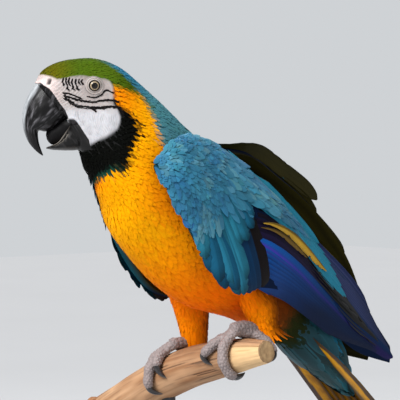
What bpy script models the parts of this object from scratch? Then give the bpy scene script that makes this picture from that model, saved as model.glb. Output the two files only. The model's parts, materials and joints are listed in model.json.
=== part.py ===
"""Life-size still model of a blue-and-yellow macaw gripping a cut branch, on a plain display stand.

Units are metres in the scene. The anatomy is written in millimetres in two frames:
  bird frame: origin on top of the branch midway between the feet, the body faces -Y, its left is +X, +Z is up;
  head frame: (forward, up) in the head's own mirror plane, measured from the point midway between the eyes.
The part's own origin is the centre of the stand's underside.
"""

import math

import bmesh
import bpy
import numpy as np
from mathutils import Matrix, Vector

MM = 0.001

# ---- driving dimensions, in millimetres -------------------------------------------------------------------
PERCH_HEIGHT = 372.0  # top of the branch above the floor
STAND_OFFSET = (-6.0, -14.0)  # the base's centre seen from the point between the feet
BASE_SIZE = (230.0, 250.0, 9.0)
ROD_RADIUS = 7.0
ROD_X = -66.0  # where the rod meets the branch, in the bird frame
HEAD_TURN = 35.0  # degrees that the head looks to the bird's right of its body
HEAD_CENTRE = (-11.0, -137.0, 234.0)  # midway between the eyes, in the bird frame
TAIL_LENGTH = 470.0
TAIL_PITCH = 44.0  # degrees below horizontal
GAP = 0.35  # clearance between neighbouring solids
ROOM_GROWTH = 0.6  # how much wider than a limb its room in a neighbour is
FEATHER_THICKNESS = 1.1
EYE_RADIUS = 7.6
EYE_DEPTH = 20.6  # eyeball's centre out from the head's mirror plane

# ---- colours: (r, g, b), roughness ------------------------------------------------------------------------
FINISHES = {
    "blue_feathers": ((0.045, 0.30, 0.48), 0.60),
    "violet_feathers": ((0.035, 0.07, 0.33), 0.50),
    "green_feathers": ((0.13, 0.28, 0.05), 0.65),
    "gold_feathers": ((0.85, 0.36, 0.01), 0.70),
    "face_skin": ((0.78, 0.74, 0.72), 0.55),
    "horn_black": ((0.015, 0.014, 0.014), 0.35),
    "eye": ((0.75, 0.72, 0.55), 0.12),
    "tongue": ((0.03, 0.025, 0.03), 0.45),
    "foot_scales": ((0.27, 0.22, 0.21), 0.70),
    "branch_wood": ((0.50, 0.34, 0.20), 0.75),
    "stand_metal": ((0.03, 0.03, 0.032), 0.45),
}


# ---- frames -----------------------------------------------------------------------------------------------
def from_bird(x, y, z):
    """A point of the bird frame, in millimetres, as the part's metres."""
    return Vector((x - STAND_OFFSET[0], y - STAND_OFFSET[1], z + PERCH_HEIGHT)) * MM


def turned(degrees):
    """Forward and left unit vectors of a frame turned to the bird's right by that angle."""
    a = math.radians(degrees)
    return np.array((-math.sin(a), -math.cos(a), 0.0)), np.array((math.cos(a), -math.sin(a), 0.0))


def from_head(forward, up, left=0.0):
    """A point of the head frame as bird-frame millimetres."""
    ahead, side = turned(HEAD_TURN)
    return np.array(HEAD_CENTRE) + ahead * forward + side * left + np.array((0.0, 0.0, up))


# ---- scene ------------------------------------------------------------------------------------------------
def clear_scene():
    for obj in list(bpy.data.objects):
        bpy.data.objects.remove(obj, do_unlink=True)


def collection(name):
    made = bpy.data.collections.new(name)
    bpy.context.scene.collection.children.link(made)
    return made


def finish_material(name):
    if name in bpy.data.materials:
        return bpy.data.materials[name]
    colour, roughness = FINISHES[name]
    made = bpy.data.materials.new(name)
    made.use_nodes = True
    shader = made.node_tree.nodes["Principled BSDF"]
    shader.inputs["Base Color"].default_value = (*colour, 1.0)
    shader.inputs["Roughness"].default_value = roughness
    shader.inputs["Metallic"].default_value = 0.0
    return made


def solid(name, rings, finish, first_tip=None, last_tip=None):
    """A closed loft through equal rings of bird-frame points, capped flat or drawn to a tip point."""
    mesh = bpy.data.meshes.new(name)
    made = bmesh.new()
    loops = [[made.verts.new(from_bird(*p)) for p in ring] for ring in rings]
    count = len(loops[0])
    for near, far in zip(loops, loops[1:]):
        for i in range(count):
            j = (i + 1) % count
            made.faces.new((near[i], near[j], far[j], far[i]))
    for loop, tip in ((loops[0], first_tip), (loops[-1], last_tip)):
        if tip is None:
            made.faces.new(loop)
        else:
            point = made.verts.new(from_bird(*tip))
            for i in range(count):
                made.faces.new((loop[i], loop[(i + 1) % count], point))
    bmesh.ops.triangulate(made, faces=[f for f in made.faces if len(f.verts) > 4])
    bmesh.ops.recalc_face_normals(made, faces=made.faces)
    made.to_mesh(mesh)
    made.free()
    return placed(name, mesh, finish)


def placed(name, mesh, finish):
    """The mesh as an object of the bird's collection, smooth-shaded with sharp edges kept."""
    mesh.materials.append(finish_material(finish))
    mesh.shade_smooth()
    mesh.set_sharp_from_angle(angle=math.radians(50))
    obj = bpy.data.objects.new(name, mesh)
    PIECES.objects.link(obj)
    return obj


def as_cutter(obj, name):
    """Moves a freshly made solid to the cutters, where it is neither rendered nor built."""
    obj.name = name
    PIECES.objects.unlink(obj)
    CUTTERS.objects.link(obj)
    obj.hide_render = True
    obj.display_type = "WIRE"
    return obj


def cut(obj, *cutters):
    """Takes each cutter's shape out of the solid."""
    for cutter in cutters:
        boolean = obj.modifiers.new("clear_" + cutter.name, "BOOLEAN")
        boolean.operation = "DIFFERENCE"
        boolean.object = cutter
        boolean.solver = "EXACT"
    return obj


# ---- flesh: sections between a dorsal and a ventral line --------------------------------------------------
class Section:
    """One cross-section: its dorsal and ventral points, half width, and where from belly to back it is widest."""

    def __init__(self, dorsal, ventral, half_width, widest=0.5, turn=0.0):
        self.values = np.array((*dorsal, *ventral, half_width, widest, turn), float)


def head_section(dorsal, ventral, half_width, widest=0.5):
    return Section(from_head(*dorsal), from_head(*ventral), half_width, widest, HEAD_TURN)


def body_section(dorsal, ventral, half_width, widest=0.5, turn=0.0, shift=0.0):
    """dorsal and ventral are (y, z); shift moves the section to the bird's left."""
    return Section((shift, *dorsal), (shift, *ventral), half_width, widest, turn)


BODY = [
    head_section((49.7, 2.6), (3.9, -55.8), 17.0, 0.50),
    head_section((45.5, 12.5), (7.5, -60.5), 21.5, 0.52),
    head_section((34.0, 20.0), (9.0, -66.0), 25.0, 0.53),
    head_section((18.0, 24.0), (8.0, -72.5), 27.5, 0.54),
    head_section((-3.0, 24.5), (3.8, -79.5), 29.5, 0.52),
    head_section((-24.0, 17.0), (-1.5, -87.0), 32.0, 0.48),
    Section((5, -95, 236), (-6, -136, 139), 34.5, 0.46, 28),
    Section((4, -71, 219), (-3, -130, 126), 39.0, 0.46, 16),
    Section((1, -44, 199), (-1, -122, 108), 43.0, 0.48, 6),
    body_section((-12, 178), (-103, 86), 45.5, 0.50),
    body_section((20, 155), (-68, 54), 46.5, 0.50),
    body_section((50, 128), (-30, 33), 45.0, 0.48),
    body_section((76, 100), (18, 20), 40.0, 0.46),
    body_section((95, 72), (54, 6), 32.0, 0.46),
    body_section((103, 48), (78, -6), 25.0, 0.50),
]
HEAD_END, NECK_END = 5.0, 8.6  # section numbers where the neck begins and ends
TRUNK_END = len(BODY) - 1.0


def interpolated(table, at):
    """Catmull-Rom reading of the rows of a table at fractional row numbers."""
    rows = np.asarray(table, float)
    rows = np.vstack((2 * rows[0] - rows[1], rows, 2 * rows[-1] - rows[-2]))
    k = np.clip(np.floor(at).astype(int), 0, len(rows) - 4)
    t = (np.asarray(at) - k)[:, None]
    a, b, c, d = (rows[k + i] for i in range(4))
    return 0.5 * (2 * b + (c - a) * t + (2 * a - 5 * b + 4 * c - d) * t**2 + (3 * b - a - 3 * c + d) * t**3)


def body_rings(first, last, count, around=22, grow=0.0):
    """Rings of the body's outline from one section number to another, grown outwards by grow."""
    rows = interpolated([s.values for s in BODY], np.linspace(first, last, count))
    angles = np.linspace(0, 2 * math.pi, around, endpoint=False)
    rings = []
    for row in rows:
        dorsal, ventral, width, widest, turn = row[:3], row[3:6], row[6], row[7], row[8]
        side = turned(turn)[1]
        height = np.linalg.norm(dorsal - ventral)
        upward = (dorsal - ventral) / height
        centre = ventral + upward * height * widest
        c, s = np.cos(angles), np.sin(angles)
        reach = np.where(c > 0, height * (1 - widest), height * widest) + grow
        rings.append(centre + np.outer(c * reach, upward) + np.outer(s * (width + grow), side))
    return rings


def shifted_first(rings, distance):
    """The rings with the first one moved into the solid, along its own plane's normal."""
    ring = rings[0]
    normal = np.cross(ring[len(ring) // 4] - ring[0], ring[len(ring) // 2] - ring[0])
    normal /= np.linalg.norm(normal)
    if np.dot(rings[1].mean(0) - ring.mean(0), normal) < 0:
        normal = -normal
    return [ring + normal * distance, *rings[1:]]


def make_flesh():
    """Head, neck and trunk: one shape parted by thin planar gaps, with sockets for the eyes."""
    head = solid("head", body_rings(0, HEAD_END, 11), "green_feathers")
    solid("neck", shifted_first(body_rings(HEAD_END, NECK_END, 7), GAP), "gold_feathers")
    solid("trunk", shifted_first(body_rings(NECK_END, TRUNK_END, 9), GAP), "gold_feathers")
    for side, sign in (("left", 1), ("right", -1)):
        centre = from_head(0, 0, sign * EYE_DEPTH)
        cut(head, as_cutter(ball(f"socket_{side}", centre, EYE_RADIUS + GAP, "eye"), f"socket_{side}"))
        ball(f"eye_{side}", centre, EYE_RADIUS, "eye")
    return head


def ball(name, centre, radius, finish):
    mesh = bpy.data.meshes.new(name)
    made = bmesh.new()
    bmesh.ops.create_uvsphere(made, u_segments=12, v_segments=8, radius=radius * MM)
    bmesh.ops.translate(made, verts=made.verts, vec=from_bird(*centre))
    made.to_mesh(mesh)
    made.free()
    return placed(name, mesh, finish)


# ---- bill -------------------------------------------------------------------------------------------------
UPPER_BILL = [  # (forward, up) of the ridge, (forward, up) of the cutting edge, half width
    ((49.7, 2.6), (24.0, -29.6), 16.8),
    ((55.8, -6.4), (29.5, -34.2), 16.2),
    ((60.2, -17.0), (35.5, -38.8), 14.8),
    ((61.9, -28.0), (42.0, -40.0), 12.3),
    ((60.6, -38.5), (47.8, -39.5), 9.3),
    ((56.6, -49.0), (47.8, -47.2), 6.3),
    ((50.2, -57.0), (45.8, -54.8), 3.5),
]
BILL_TIP = (43.7, -61.8)
LOWER_BILL = [  # (forward, up) of the cutting edge, (forward, up) of the keel, half width
    ((22.8, -31.4), (4.2, -54.8), 17.3),
    ((24.2, -37.0), (12.5, -56.3), 17.3),
    ((27.0, -43.3), (20.5, -56.8), 16.3),
    ((30.5, -48.8), (28.5, -56.6), 14.3),
    ((34.8, -51.6), (35.0, -56.2), 11.8),
    ((39.8, -53.6), (40.2, -55.3), 8.0),
]
TONGUE = [  # (forward, up) of its top, (forward, up) of its underside, half width
    ((25.0, -33.4), (20.6, -39.8), 6.5),
    ((28.5, -37.5), (24.0, -46.0), 7.5),
    ((33.0, -41.5), (30.0, -49.0), 7.0),
    ((35.5, -45.0), (34.2, -49.0), 4.8),
]


def bill_rings(rows, around, roof, lift=0.0):
    """Rings between two profile lines of the head's mirror plane; roof is where the ring is widest."""
    angles = np.linspace(0, 2 * math.pi, around, endpoint=False)
    side = turned(HEAD_TURN)[1]
    rings = []
    for first, second, width in rows:
        top, bottom = from_head(*first), from_head(*second)
        height = np.linalg.norm(top - bottom)
        upward = (top - bottom) / height
        centre = bottom + upward * height * roof
        c, s = np.cos(angles), np.sin(angles)
        reach = np.where(c > 0, height * (1 - roof), height * roof) + lift
        rings.append(centre + np.outer(c * reach, upward) + np.outer(s * (width + lift), side))
    return rings


def make_bill(head):
    """Hooked upper bill, scooped lower bill and the tongue between them, each let into what it grows from."""
    for name, rows, roof, tip in (("bill_upper", UPPER_BILL, 0.34, from_head(*BILL_TIP)),
                                  ("bill_lower", LOWER_BILL, 0.60, None)):
        room = solid(name + "_room", bill_rings(rows, 14, roof, lift=GAP), "horn_black", last_tip=tip)
        cut(head, as_cutter(room, name + "_room"))
        solid(name, shifted_first(bill_rings(rows, 14, roof), GAP), "horn_black", last_tip=tip)
    room = solid("tongue_room", bill_rings(TONGUE, 10, 0.5, lift=GAP), "tongue")
    cut(bpy.data.objects["bill_lower"], as_cutter(room, "tongue_room"))
    solid("tongue", bill_rings(TONGUE, 10, 0.5), "tongue")


# ---- branch and feet --------------------------------------------------------------------------------------
BRANCH = [  # centre (x, y, z) and radius, from the sawn end on the bird's left to the cut on its right
    (69.0, 0.0, -5.0, 10.5),
    (34.0, 0.0, -11.0, 15.2),
    (-25.0, 0.0, -25.2, 18.8),
    (-67.0, 0.0, -40.0, 20.0),
    (-105.0, 0.0, -58.5, 21.0),
    (-152.0, 1.0, -84.0, 22.0),
    (-190.0, 2.0, -105.0, 23.0),
]
KNOT = ((-163.0, -12.0, -75.0), 8.5)  # stub of a side twig: centre and radius
TOE_CLEARANCE = 0.6


def branch_at(x):
    """Centre, upward normal and radius of the branch at places along the bird's left-right axis."""
    table = np.array(BRANCH)
    at = np.interp(-np.atleast_1d(np.asarray(x, float)), -table[:, 0], np.arange(len(table)))
    rows = interpolated(table, at)
    along = interpolated(table, at + 0.02)[:, :3] - interpolated(table, at - 0.02)[:, :3]
    normal = np.cross((0.0, -1.0, 0.0), along)
    normal /= np.linalg.norm(normal, axis=1)[:, None]
    return rows[:, :3], normal * np.sign(normal[:, 2:3]), rows[:, 3]


def tube(name, points, radii, finish, resolution=2):
    """A round-section tube along bird-frame points, its radius set at each point, as a closed mesh."""
    curve = bpy.data.curves.new(name, "CURVE")
    curve.dimensions = "3D"
    curve.bevel_depth = MM
    curve.bevel_resolution = resolution
    curve.use_fill_caps = True
    spline = curve.splines.new("POLY")
    spline.points.add(len(points) - 1)
    for place, point, radius in zip(spline.points, points, radii):
        place.co = (*from_bird(*point), 1.0)
        place.radius = radius
    guide = bpy.data.objects.new(name, curve)
    PIECES.objects.link(guide)
    bpy.context.view_layer.update()
    mesh = bpy.data.meshes.new_from_object(guide.evaluated_get(bpy.context.evaluated_depsgraph_get()))
    bpy.data.objects.remove(guide, do_unlink=True)
    bpy.data.curves.remove(curve)
    made = bmesh.new()
    made.from_mesh(mesh)
    bmesh.ops.remove_doubles(made, verts=made.verts, dist=1e-6)
    bmesh.ops.recalc_face_normals(made, faces=made.faces)
    made.to_mesh(mesh)
    made.free()
    mesh.name = name
    mesh.materials.clear()
    return placed(name, mesh, finish)


def on_branch(x, angle, height):
    """Points by their place along the branch, degrees from its top towards the front, and height off the bark."""
    centre, normal, radius = branch_at(x)
    angle = np.radians(np.asarray(angle, float))[:, None]
    reach = (radius + np.asarray(height, float) + TOE_CLEARANCE)[:, None]
    return centre + reach * (np.cos(angle) * normal + np.sin(angle) * np.array((0.0, -1.0, 0.0)))


class Toe:
    """A toe laid round the branch from the foot's hub, and its claw: places along the branch and angles round it."""

    RADII = np.array((4.8, 5.3, 4.9, 5.3, 4.7, 4.9, 4.0))
    CLAW_RADII = np.array((3.3, 3.2, 2.7, 1.9, 0.5))
    CLAW_BEND = 6.0

    def __init__(self, name, x, angle, claw_x, claw_angle):
        self.name, self.x, self.angle, self.claw_x, self.claw_angle = name, x, angle, claw_x, claw_angle

    def path(self):
        count = len(self.RADII)
        return on_branch(np.linspace(*self.x, count), np.linspace(*self.angle, count), self.RADII)

    def make(self, hub):
        """The toe as a piece to be joined to its foot, starting inside the hub."""
        toe = tube(self.name, np.vstack((hub, self.path())), np.append(5.0, self.RADII), "foot_scales")
        return as_cutter(toe, self.name)

    def make_claw(self, side):
        """The claw, a hook that leaves the toe along its line and comes down to the bark further round."""
        path = self.path()
        along = (path[-1] - path[-2]) / np.linalg.norm(path[-1] - path[-2])
        tip = on_branch([self.claw_x], [self.claw_angle], [0.8])[0]
        t = np.linspace(0, 1, len(self.CLAW_RADII))[:, None]
        root, bend = path[-1] - along, path[-1] + along * self.CLAW_BEND
        points = root * (1 - t) ** 2 + bend * 2 * t * (1 - t) + tip * t**2
        finger = self.name.split("_")[-1]
        claw = tube(f"claw_{side}_{finger}", points, self.CLAW_RADII, "horn_black", resolution=1)
        room = np.vstack((path, path[-1] + along * GAP))
        radii = np.append(self.RADII, self.RADII[-1]) + GAP
        cut(claw, as_cutter(tube(self.name + "_room", room, radii, "foot_scales"), self.name + "_room"))


class Leg:
    """Feathered thigh, bare foot and claws of one side."""

    def __init__(self, side, thigh, tarsus, hub, toes):
        self.side, self.thigh, self.tarsus, self.hub, self.toes = side, thigh, tarsus, hub, toes

    def thigh_tube(self, name, grow=0.0):
        rows = interpolated(self.thigh, np.linspace(0, len(self.thigh) - 1, 8))
        return tube(name, rows[:, :3], rows[:, 3] + grow, "gold_feathers", resolution=3)

    def make(self, rooms):
        rows = interpolated(self.tarsus, np.linspace(0, len(self.tarsus) - 1, 6))
        foot = tube(f"foot_{self.side}", rows[:, :3], rows[:, 3], "foot_scales")
        pocket = rows + np.array((0.0, 0.0, 0.0, GAP))
        pocket[0, :3] -= (rows[1] - rows[0])[:3] * 0.1
        room = as_cutter(tube(f"tarsus_room_{self.side}", pocket[:, :3], pocket[:, 3], "foot_scales"),
                         f"tarsus_room_{self.side}")
        cut(self.thigh_tube(f"thigh_{self.side}"), *rooms, room)
        for toe in self.toes:
            joint = foot.modifiers.new("join_" + toe.name, "BOOLEAN")
            joint.operation = "UNION"
            joint.object = toe.make(self.hub)
            joint.solver = "EXACT"
            toe.make_claw(self.side)


LEGS = [
    Leg("left",
        [(33, 6, 70, 18.0), (38, 16, 48, 16.5), (40, 22, 30, 15.0), (40, 25.5, 16, 13.0)],
        [(40, 24, 12.2, 5.0), (39, 15, 12.5, 5.6), (38, 2, 15.5, 5.8), (37.5, -10, 13.5, 6.8), (37, -13, 13, 6.0)],
        (37.3, -9.0, 13.0),
        (Toe("left_inner", (30, 8), (32, 74), 13, 106),
         Toe("left_middle", (35, 30), (46, 158), 31, 198),
         Toe("left_outer", (43, 60), (-26, -96), 60, -134),
         Toe("left_back", (35, 20), (-30, -104), 18, -142))),
    Leg("right",
        [(-38, -8, 62, 22.0), (-42, 5, 41, 19.5), (-45, 12, 21, 16.0), (-45.5, 15, 2, 13.0)],
        [(-46, 15, -6.6, 4.8), (-47, 10, -6.2, 5.0), (-48.5, 2, -5.4, 5.2), (-50.5, -6, -6.4, 6.2),
         (-51.5, -9, -7.6, 5.6)],
        (-51.0, -6.0, -6.2),
        (Toe("right_inner", (-49, -52), (38, 70), -46, 104),
         Toe("right_middle", (-54, -69), (36, 106), -64, 140),
         Toe("right_outer", (-48, -62), (-18, -98), -64, -136),
         Toe("right_back", (-45, -32), (-20, -104), -31, -142))),
]


def make_branch():
    rows = interpolated(BRANCH, np.linspace(0, len(BRANCH) - 1, 13))
    branch = tube("perch_branch", rows[:, :3], rows[:, 3], "branch_wood", resolution=4)
    knot = as_cutter(ball("knot", *KNOT, "branch_wood"), "knot")
    joint = branch.modifiers.new("knot", "BOOLEAN")
    joint.operation = "UNION"
    joint.object = knot
    joint.solver = "EXACT"
    return branch


def cylinder(name, foot, height, radius, finish):
    """An upright cylinder standing on a bird-frame point."""
    mesh = bpy.data.meshes.new(name)
    made = bmesh.new()
    bmesh.ops.create_cone(made, cap_ends=True, segments=20, radius1=radius * MM, radius2=radius * MM,
                          depth=height * MM)
    middle = (foot[0], foot[1], foot[2] + height / 2)
    bmesh.ops.translate(made, verts=made.verts, vec=from_bird(*middle))
    made.to_mesh(mesh)
    made.free()
    return placed(name, mesh, finish)


def make_stand(branch):
    """Flat base with a rounded rim and one rod, which goes up into a hole in the underside of the branch."""
    mesh = bpy.data.meshes.new("stand_base")
    made = bmesh.new()
    bmesh.ops.create_cube(made, size=1.0)
    bmesh.ops.scale(made, verts=made.verts, vec=Vector(BASE_SIZE) * MM)
    bmesh.ops.translate(made, verts=made.verts, vec=(0.0, 0.0, BASE_SIZE[2] / 2 * MM))
    made.to_mesh(mesh)
    made.free()
    base = placed("stand_base", mesh, "stand_metal")
    rounding = base.modifiers.new("rim", "BEVEL")
    rounding.width = 0.0015
    rounding.segments = 1
    centre, _, radius = branch_at(ROD_X)
    foot = (ROD_X, 0.0, BASE_SIZE[2] + GAP - PERCH_HEIGHT)
    height = centre[0, 2] - 0.35 * radius[0] - foot[2]
    cylinder("stand_rod", foot, height, ROD_RADIUS, "stand_metal")
    hole = cylinder("rod_hole", foot, height + GAP, ROD_RADIUS + GAP, "stand_metal")
    cut(branch, as_cutter(hole, "rod_hole"))


# ---- wings ------------------------------------------------------------------------------------------------
class Station:
    """Across a folded wing: lower and upper edge points, how far it bulges out, and its thickness."""

    def __init__(self, lower, upper, bulge, thickness):
        self.values = np.array((*lower, *upper, bulge, thickness), float)


LEFT_WING = [
    Station((48, -115, 158), (45, -113, 170), 2, 7),
    Station((54, -98, 130), (37, -84, 189), 11, 11),
    Station((57, -70, 86), (22, -40, 192), 17, 12),
    Station((58, -35, 50), (13, 5, 178), 21, 11),
    Station((57, 5, 48), (12, 46, 150), 20, 8),
    Station((50, 45, 41), (12, 84, 119), 15, 6),
    Station((40, 98, 15), (12, 124, 83), 9, 4),
    Station((28, 160, -20), (12, 176, 38), 4, 3),
    Station((15, 227, -38), (12, 231, -25), 1, 2),
]
RIGHT_WING = [  # mirrored: x is towards the bird's right; held looser, with its upper feathers lifted
    Station((48, -115, 158), (45, -113, 170), 2, 7),
    Station((53, -97, 127), (37, -84, 189), 11, 11),
    Station((60, -71, 83), (22, -40, 193), 15, 12),
    Station((61, -36, 44), (12, 5, 184), 19, 11),
    Station((58, 0, 32), (7, 50, 178), 20, 8),
    Station((50, 45, 38), (4, 86, 156), 16, 6),
    Station((40, 98, 14), (0, 130, 122), 10, 4),
    Station((28, 160, -20), (0, 179, 68), 5, 3),
    Station((15, 227, -38), (12, 231, -25), 1, 2),
]


def wing_surface(wing, at, across, side):
    """Points and outward normals of the folded wing: at runs to the tip, across from lower to upper edge."""
    def points(at_rows, t):
        rows = interpolated([s.values for s in wing], at_rows)
        lower, upper, bulge = rows[:, None, :3], rows[:, None, 3:6], rows[:, None, 6:7]
        chord = (upper - lower) / np.linalg.norm(upper - lower, axis=2)[..., None]
        outward = np.array((1.0, 0.0, 0.0)) - chord * chord[..., :1]
        outward /= np.linalg.norm(outward, axis=2)[..., None]
        arch = (4 * t * (1 - t))[None, :, None] ** 0.8
        return lower * (1 - t)[None, :, None] + upper * t[None, :, None] + outward * bulge * arch

    step = 0.01
    at, across = np.asarray(at, float), np.asarray(across, float)
    surface = points(at, across)
    along = points(np.minimum(at + step, len(wing) - 1), across) - points(np.maximum(at - step, 0), across)
    over = points(at, np.minimum(across + step, 1)) - points(at, np.maximum(across - step, 0))
    normal = np.cross(over, along)
    normal /= np.linalg.norm(normal, axis=2)[..., None]
    normal *= np.sign(normal[..., :1].mean())
    thickness = interpolated([s.values for s in wing], at)[:, 7]
    mirror = np.array((1.0 if side == "left" else -1.0, 1.0, 1.0))
    return surface * mirror, normal * mirror, thickness


def slab(name, outer, inner, finish):
    """A closed sheet between two equal grids of bird-frame points."""
    mesh = bpy.data.meshes.new(name)
    made = bmesh.new()
    grids = [[[made.verts.new(from_bird(*p)) for p in row] for row in grid] for grid in (outer, inner)]
    rows, columns = len(outer), len(outer[0])
    for grid in grids:
        for i in range(rows - 1):
            for j in range(columns - 1):
                made.faces.new((grid[i][j], grid[i][j + 1], grid[i + 1][j + 1], grid[i + 1][j]))
    top, under = grids
    rim = [(i, 0) for i in range(rows)] + [(rows - 1, j) for j in range(1, columns)]
    rim += [(i, columns - 1) for i in range(rows - 2, -1, -1)] + [(0, j) for j in range(columns - 2, 0, -1)]
    for (a, b), (c, d) in zip(rim, rim[1:] + rim[:1]):
        made.faces.new((top[a][b], top[c][d], under[c][d], under[a][b]))
    bmesh.ops.triangulate(made, faces=list(made.faces))
    bmesh.ops.recalc_face_normals(made, faces=made.faces)
    made.to_mesh(mesh)
    made.free()
    return placed(name, mesh, finish)


WING_PARTS = [  # name, first and last station, lower and upper edge share, grid, finish
    ("coverts", 0.0, 3.75, 0.0, 1.0, (9, 8), "blue_feathers"),
    ("flight", 3.78, 8.0, 0.0, 0.60, (10, 6), "violet_feathers"),
    ("tertials", 3.78, 7.1, 0.615, 1.0, (9, 5), "blue_feathers"),
]


def make_wing(side, wing, rooms):
    for part, first, last, low, high, (rows, columns), finish in WING_PARTS:
        surface, normal, thickness = wing_surface(
            wing, np.linspace(first, last, rows), np.linspace(low, high, columns), side)
        inner = surface - normal * thickness[:, None, None]
        piece = slab(f"wing_{side}_{part}", surface, inner, finish)
        cut(piece, *rooms)


# ---- tail -------------------------------------------------------------------------------------------------
TAIL_ROOT = (1.0, 93.0, 19.0)
TAIL_YAW = 2.0  # degrees to the bird's left
TAIL_SPACING = 1.9  # from one layer of blades to the next
TAIL_GRADES = (1.0, 0.94, 0.80, 0.66, 0.53, 0.42)  # each pair's share of the full length
TAIL_PAIRS = len(TAIL_GRADES)
TAIL_ARCH = 0.09  # fall of the blades per unit of distance from the tail's middle
TAIL_TOP = 5.0  # middle of the uppermost blades above the tail's axis


def tail_frame():
    """Along, across and up unit vectors of the tail, and its root."""
    p, q = math.radians(TAIL_PITCH), math.radians(TAIL_YAW)
    back, across = np.array((math.sin(q), math.cos(q), 0.0)), np.array((math.cos(q), -math.sin(q), 0.0))
    rise = np.array((0.0, 0.0, 1.0))
    along = back * math.cos(p) - rise * math.sin(p)
    return along, across, back * math.sin(p) + rise * math.cos(p), np.array(TAIL_ROOT)


def make_tail_feather(side, rank):
    """One blade of the graduated tail; rank 0 is the long middle pair, each next pair lies lower and shorter."""
    along, across, up, root = tail_frame()
    sign = 1 if side == "left" else -1
    length = TAIL_LENGTH * TAIL_GRADES[rank]
    half = 13.5 - 0.5 * rank
    fan = math.radians(1.1 * rank)
    layer = TAIL_TOP - rank * TAIL_SPACING
    outer, under = [], []
    for share in (0.0, 0.08, 0.25, 0.5, 0.72, 0.86, 0.94, 0.98, 1.0):
        full = min(1.0, 0.35 + share * 2.6)
        width = half * full * (1.0 - 0.92 * max(0.0, (share - 0.72) / 0.28) ** 2.2)
        middle = (half + 0.7 + 2.9 * rank) * full + length * share * math.sin(fan)
        for grid, lift in ((outer, 0.5), (under, -0.5)):
            row = []
            for reach in (middle - width, middle + width):
                height = layer + lift * FEATHER_THICKNESS - reach * TAIL_ARCH
                row.append(root + along * length * share * math.cos(fan) + across * sign * reach + up * height)
            grid.append(row)
    slab(f"tail_feather_{side}_{rank + 1}", outer, under, "blue_feathers")


def plane_box(name, centre, along, across, up, size):
    """A box cutter with its middle at a bird-frame point and its sides along three unit vectors."""
    mesh = bpy.data.meshes.new(name)
    made = bmesh.new()
    bmesh.ops.create_cube(made, size=1.0)
    basis = Matrix((Vector(along) * size[0], Vector(across) * size[1], Vector(up) * size[2])).transposed()
    bmesh.ops.transform(made, verts=made.verts, matrix=(basis * MM).to_4x4())
    bmesh.ops.translate(made, verts=made.verts, vec=from_bird(*centre))
    bmesh.ops.recalc_face_normals(made, faces=made.faces)
    made.to_mesh(mesh)
    made.free()
    return as_cutter(placed(name, mesh, "blue_feathers"), name)


TAIL_COVERTS = [
    body_section((103, 48), (78, -6), 25.0),
    body_section((124, 28), (102, -24), 27.0),
    body_section((144, 6), (132, -42), 26.0),
    body_section((160, -14), (158, -56), 18.0),
    body_section((172, -38), (174, -62), 7.0),
]


def make_tail():
    along, across, up, root = tail_frame()
    for side in ("left", "right"):
        for rank in range(TAIL_PAIRS):
            make_tail_feather(side, rank)
    reach = 300.0
    top = TAIL_TOP + 0.4 + FEATHER_THICKNESS + GAP
    bottom = TAIL_TOP - (TAIL_PAIRS - 1) * TAIL_SPACING - FEATHER_THICKNESS - 2.6 - GAP
    below = plane_box("below_tail_top", root + up * (top - reach / 2), along, across, up, (reach,) * 3)
    above = plane_box("above_tail_underside", root + up * (bottom + reach / 2), along, across, up, (reach,) * 3)
    for name, cutter in (("tail_coverts_upper", below), ("tail_coverts_under", above)):
        rows = interpolated([s.values for s in TAIL_COVERTS], np.linspace(0, len(TAIL_COVERTS) - 1, 7))
        rings = []
        angles = np.linspace(0, 2 * math.pi, 16, endpoint=False)
        for row in rows:
            middle, half = (row[:3] + row[3:6]) / 2, (row[:3] - row[3:6]) / 2
            rings.append(middle + np.outer(np.cos(angles), half) + np.outer(np.sin(angles), (row[6], 0.0, 0.0)))
        cut(solid(name, shifted_first(rings, GAP), "blue_feathers"), cutter)


# ---- the whole --------------------------------------------------------------------------------------------
def main():
    make_bill(make_flesh())
    rooms = []
    for name, first, last, count in (("neck_room", HEAD_END, NECK_END, 7), ("trunk_room", NECK_END, TRUNK_END, 9)):
        rings = body_rings(first, last, count, grow=ROOM_GROWTH)
        rooms.append(as_cutter(solid(name, rings, "gold_feathers"), name))
    thigh_rooms = []
    for leg in LEGS:
        leg.make(rooms)
        thigh_rooms.append(as_cutter(leg.thigh_tube(f"thigh_room_{leg.side}", ROOM_GROWTH), f"thigh_room_{leg.side}"))
    make_stand(make_branch())
    for side, wing, room in zip(("left", "right"), (LEFT_WING, RIGHT_WING), thigh_rooms):
        make_wing(side, wing, (*rooms, room))
    make_tail()


clear_scene()
PIECES = collection("Macaw")
CUTTERS = collection("Cutters")
main()
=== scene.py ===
"""Looks of a life-size display model of a blue-and-yellow macaw gripping a cut branch on a plain stand.

Lengths are millimetres of the bird frame until a mesh is made: its origin is on top of the branch between
the feet, the body faces -Y, its left is +X and +Z is up. Head-frame points are (forward, up) in the head's
own mirror plane, measured from the point midway between the eyes. BirdFrame turns both into metres.
"""

import json
import logging
import math
from dataclasses import dataclass, field
from enum import Enum
from typing import Callable, Sequence

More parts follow.
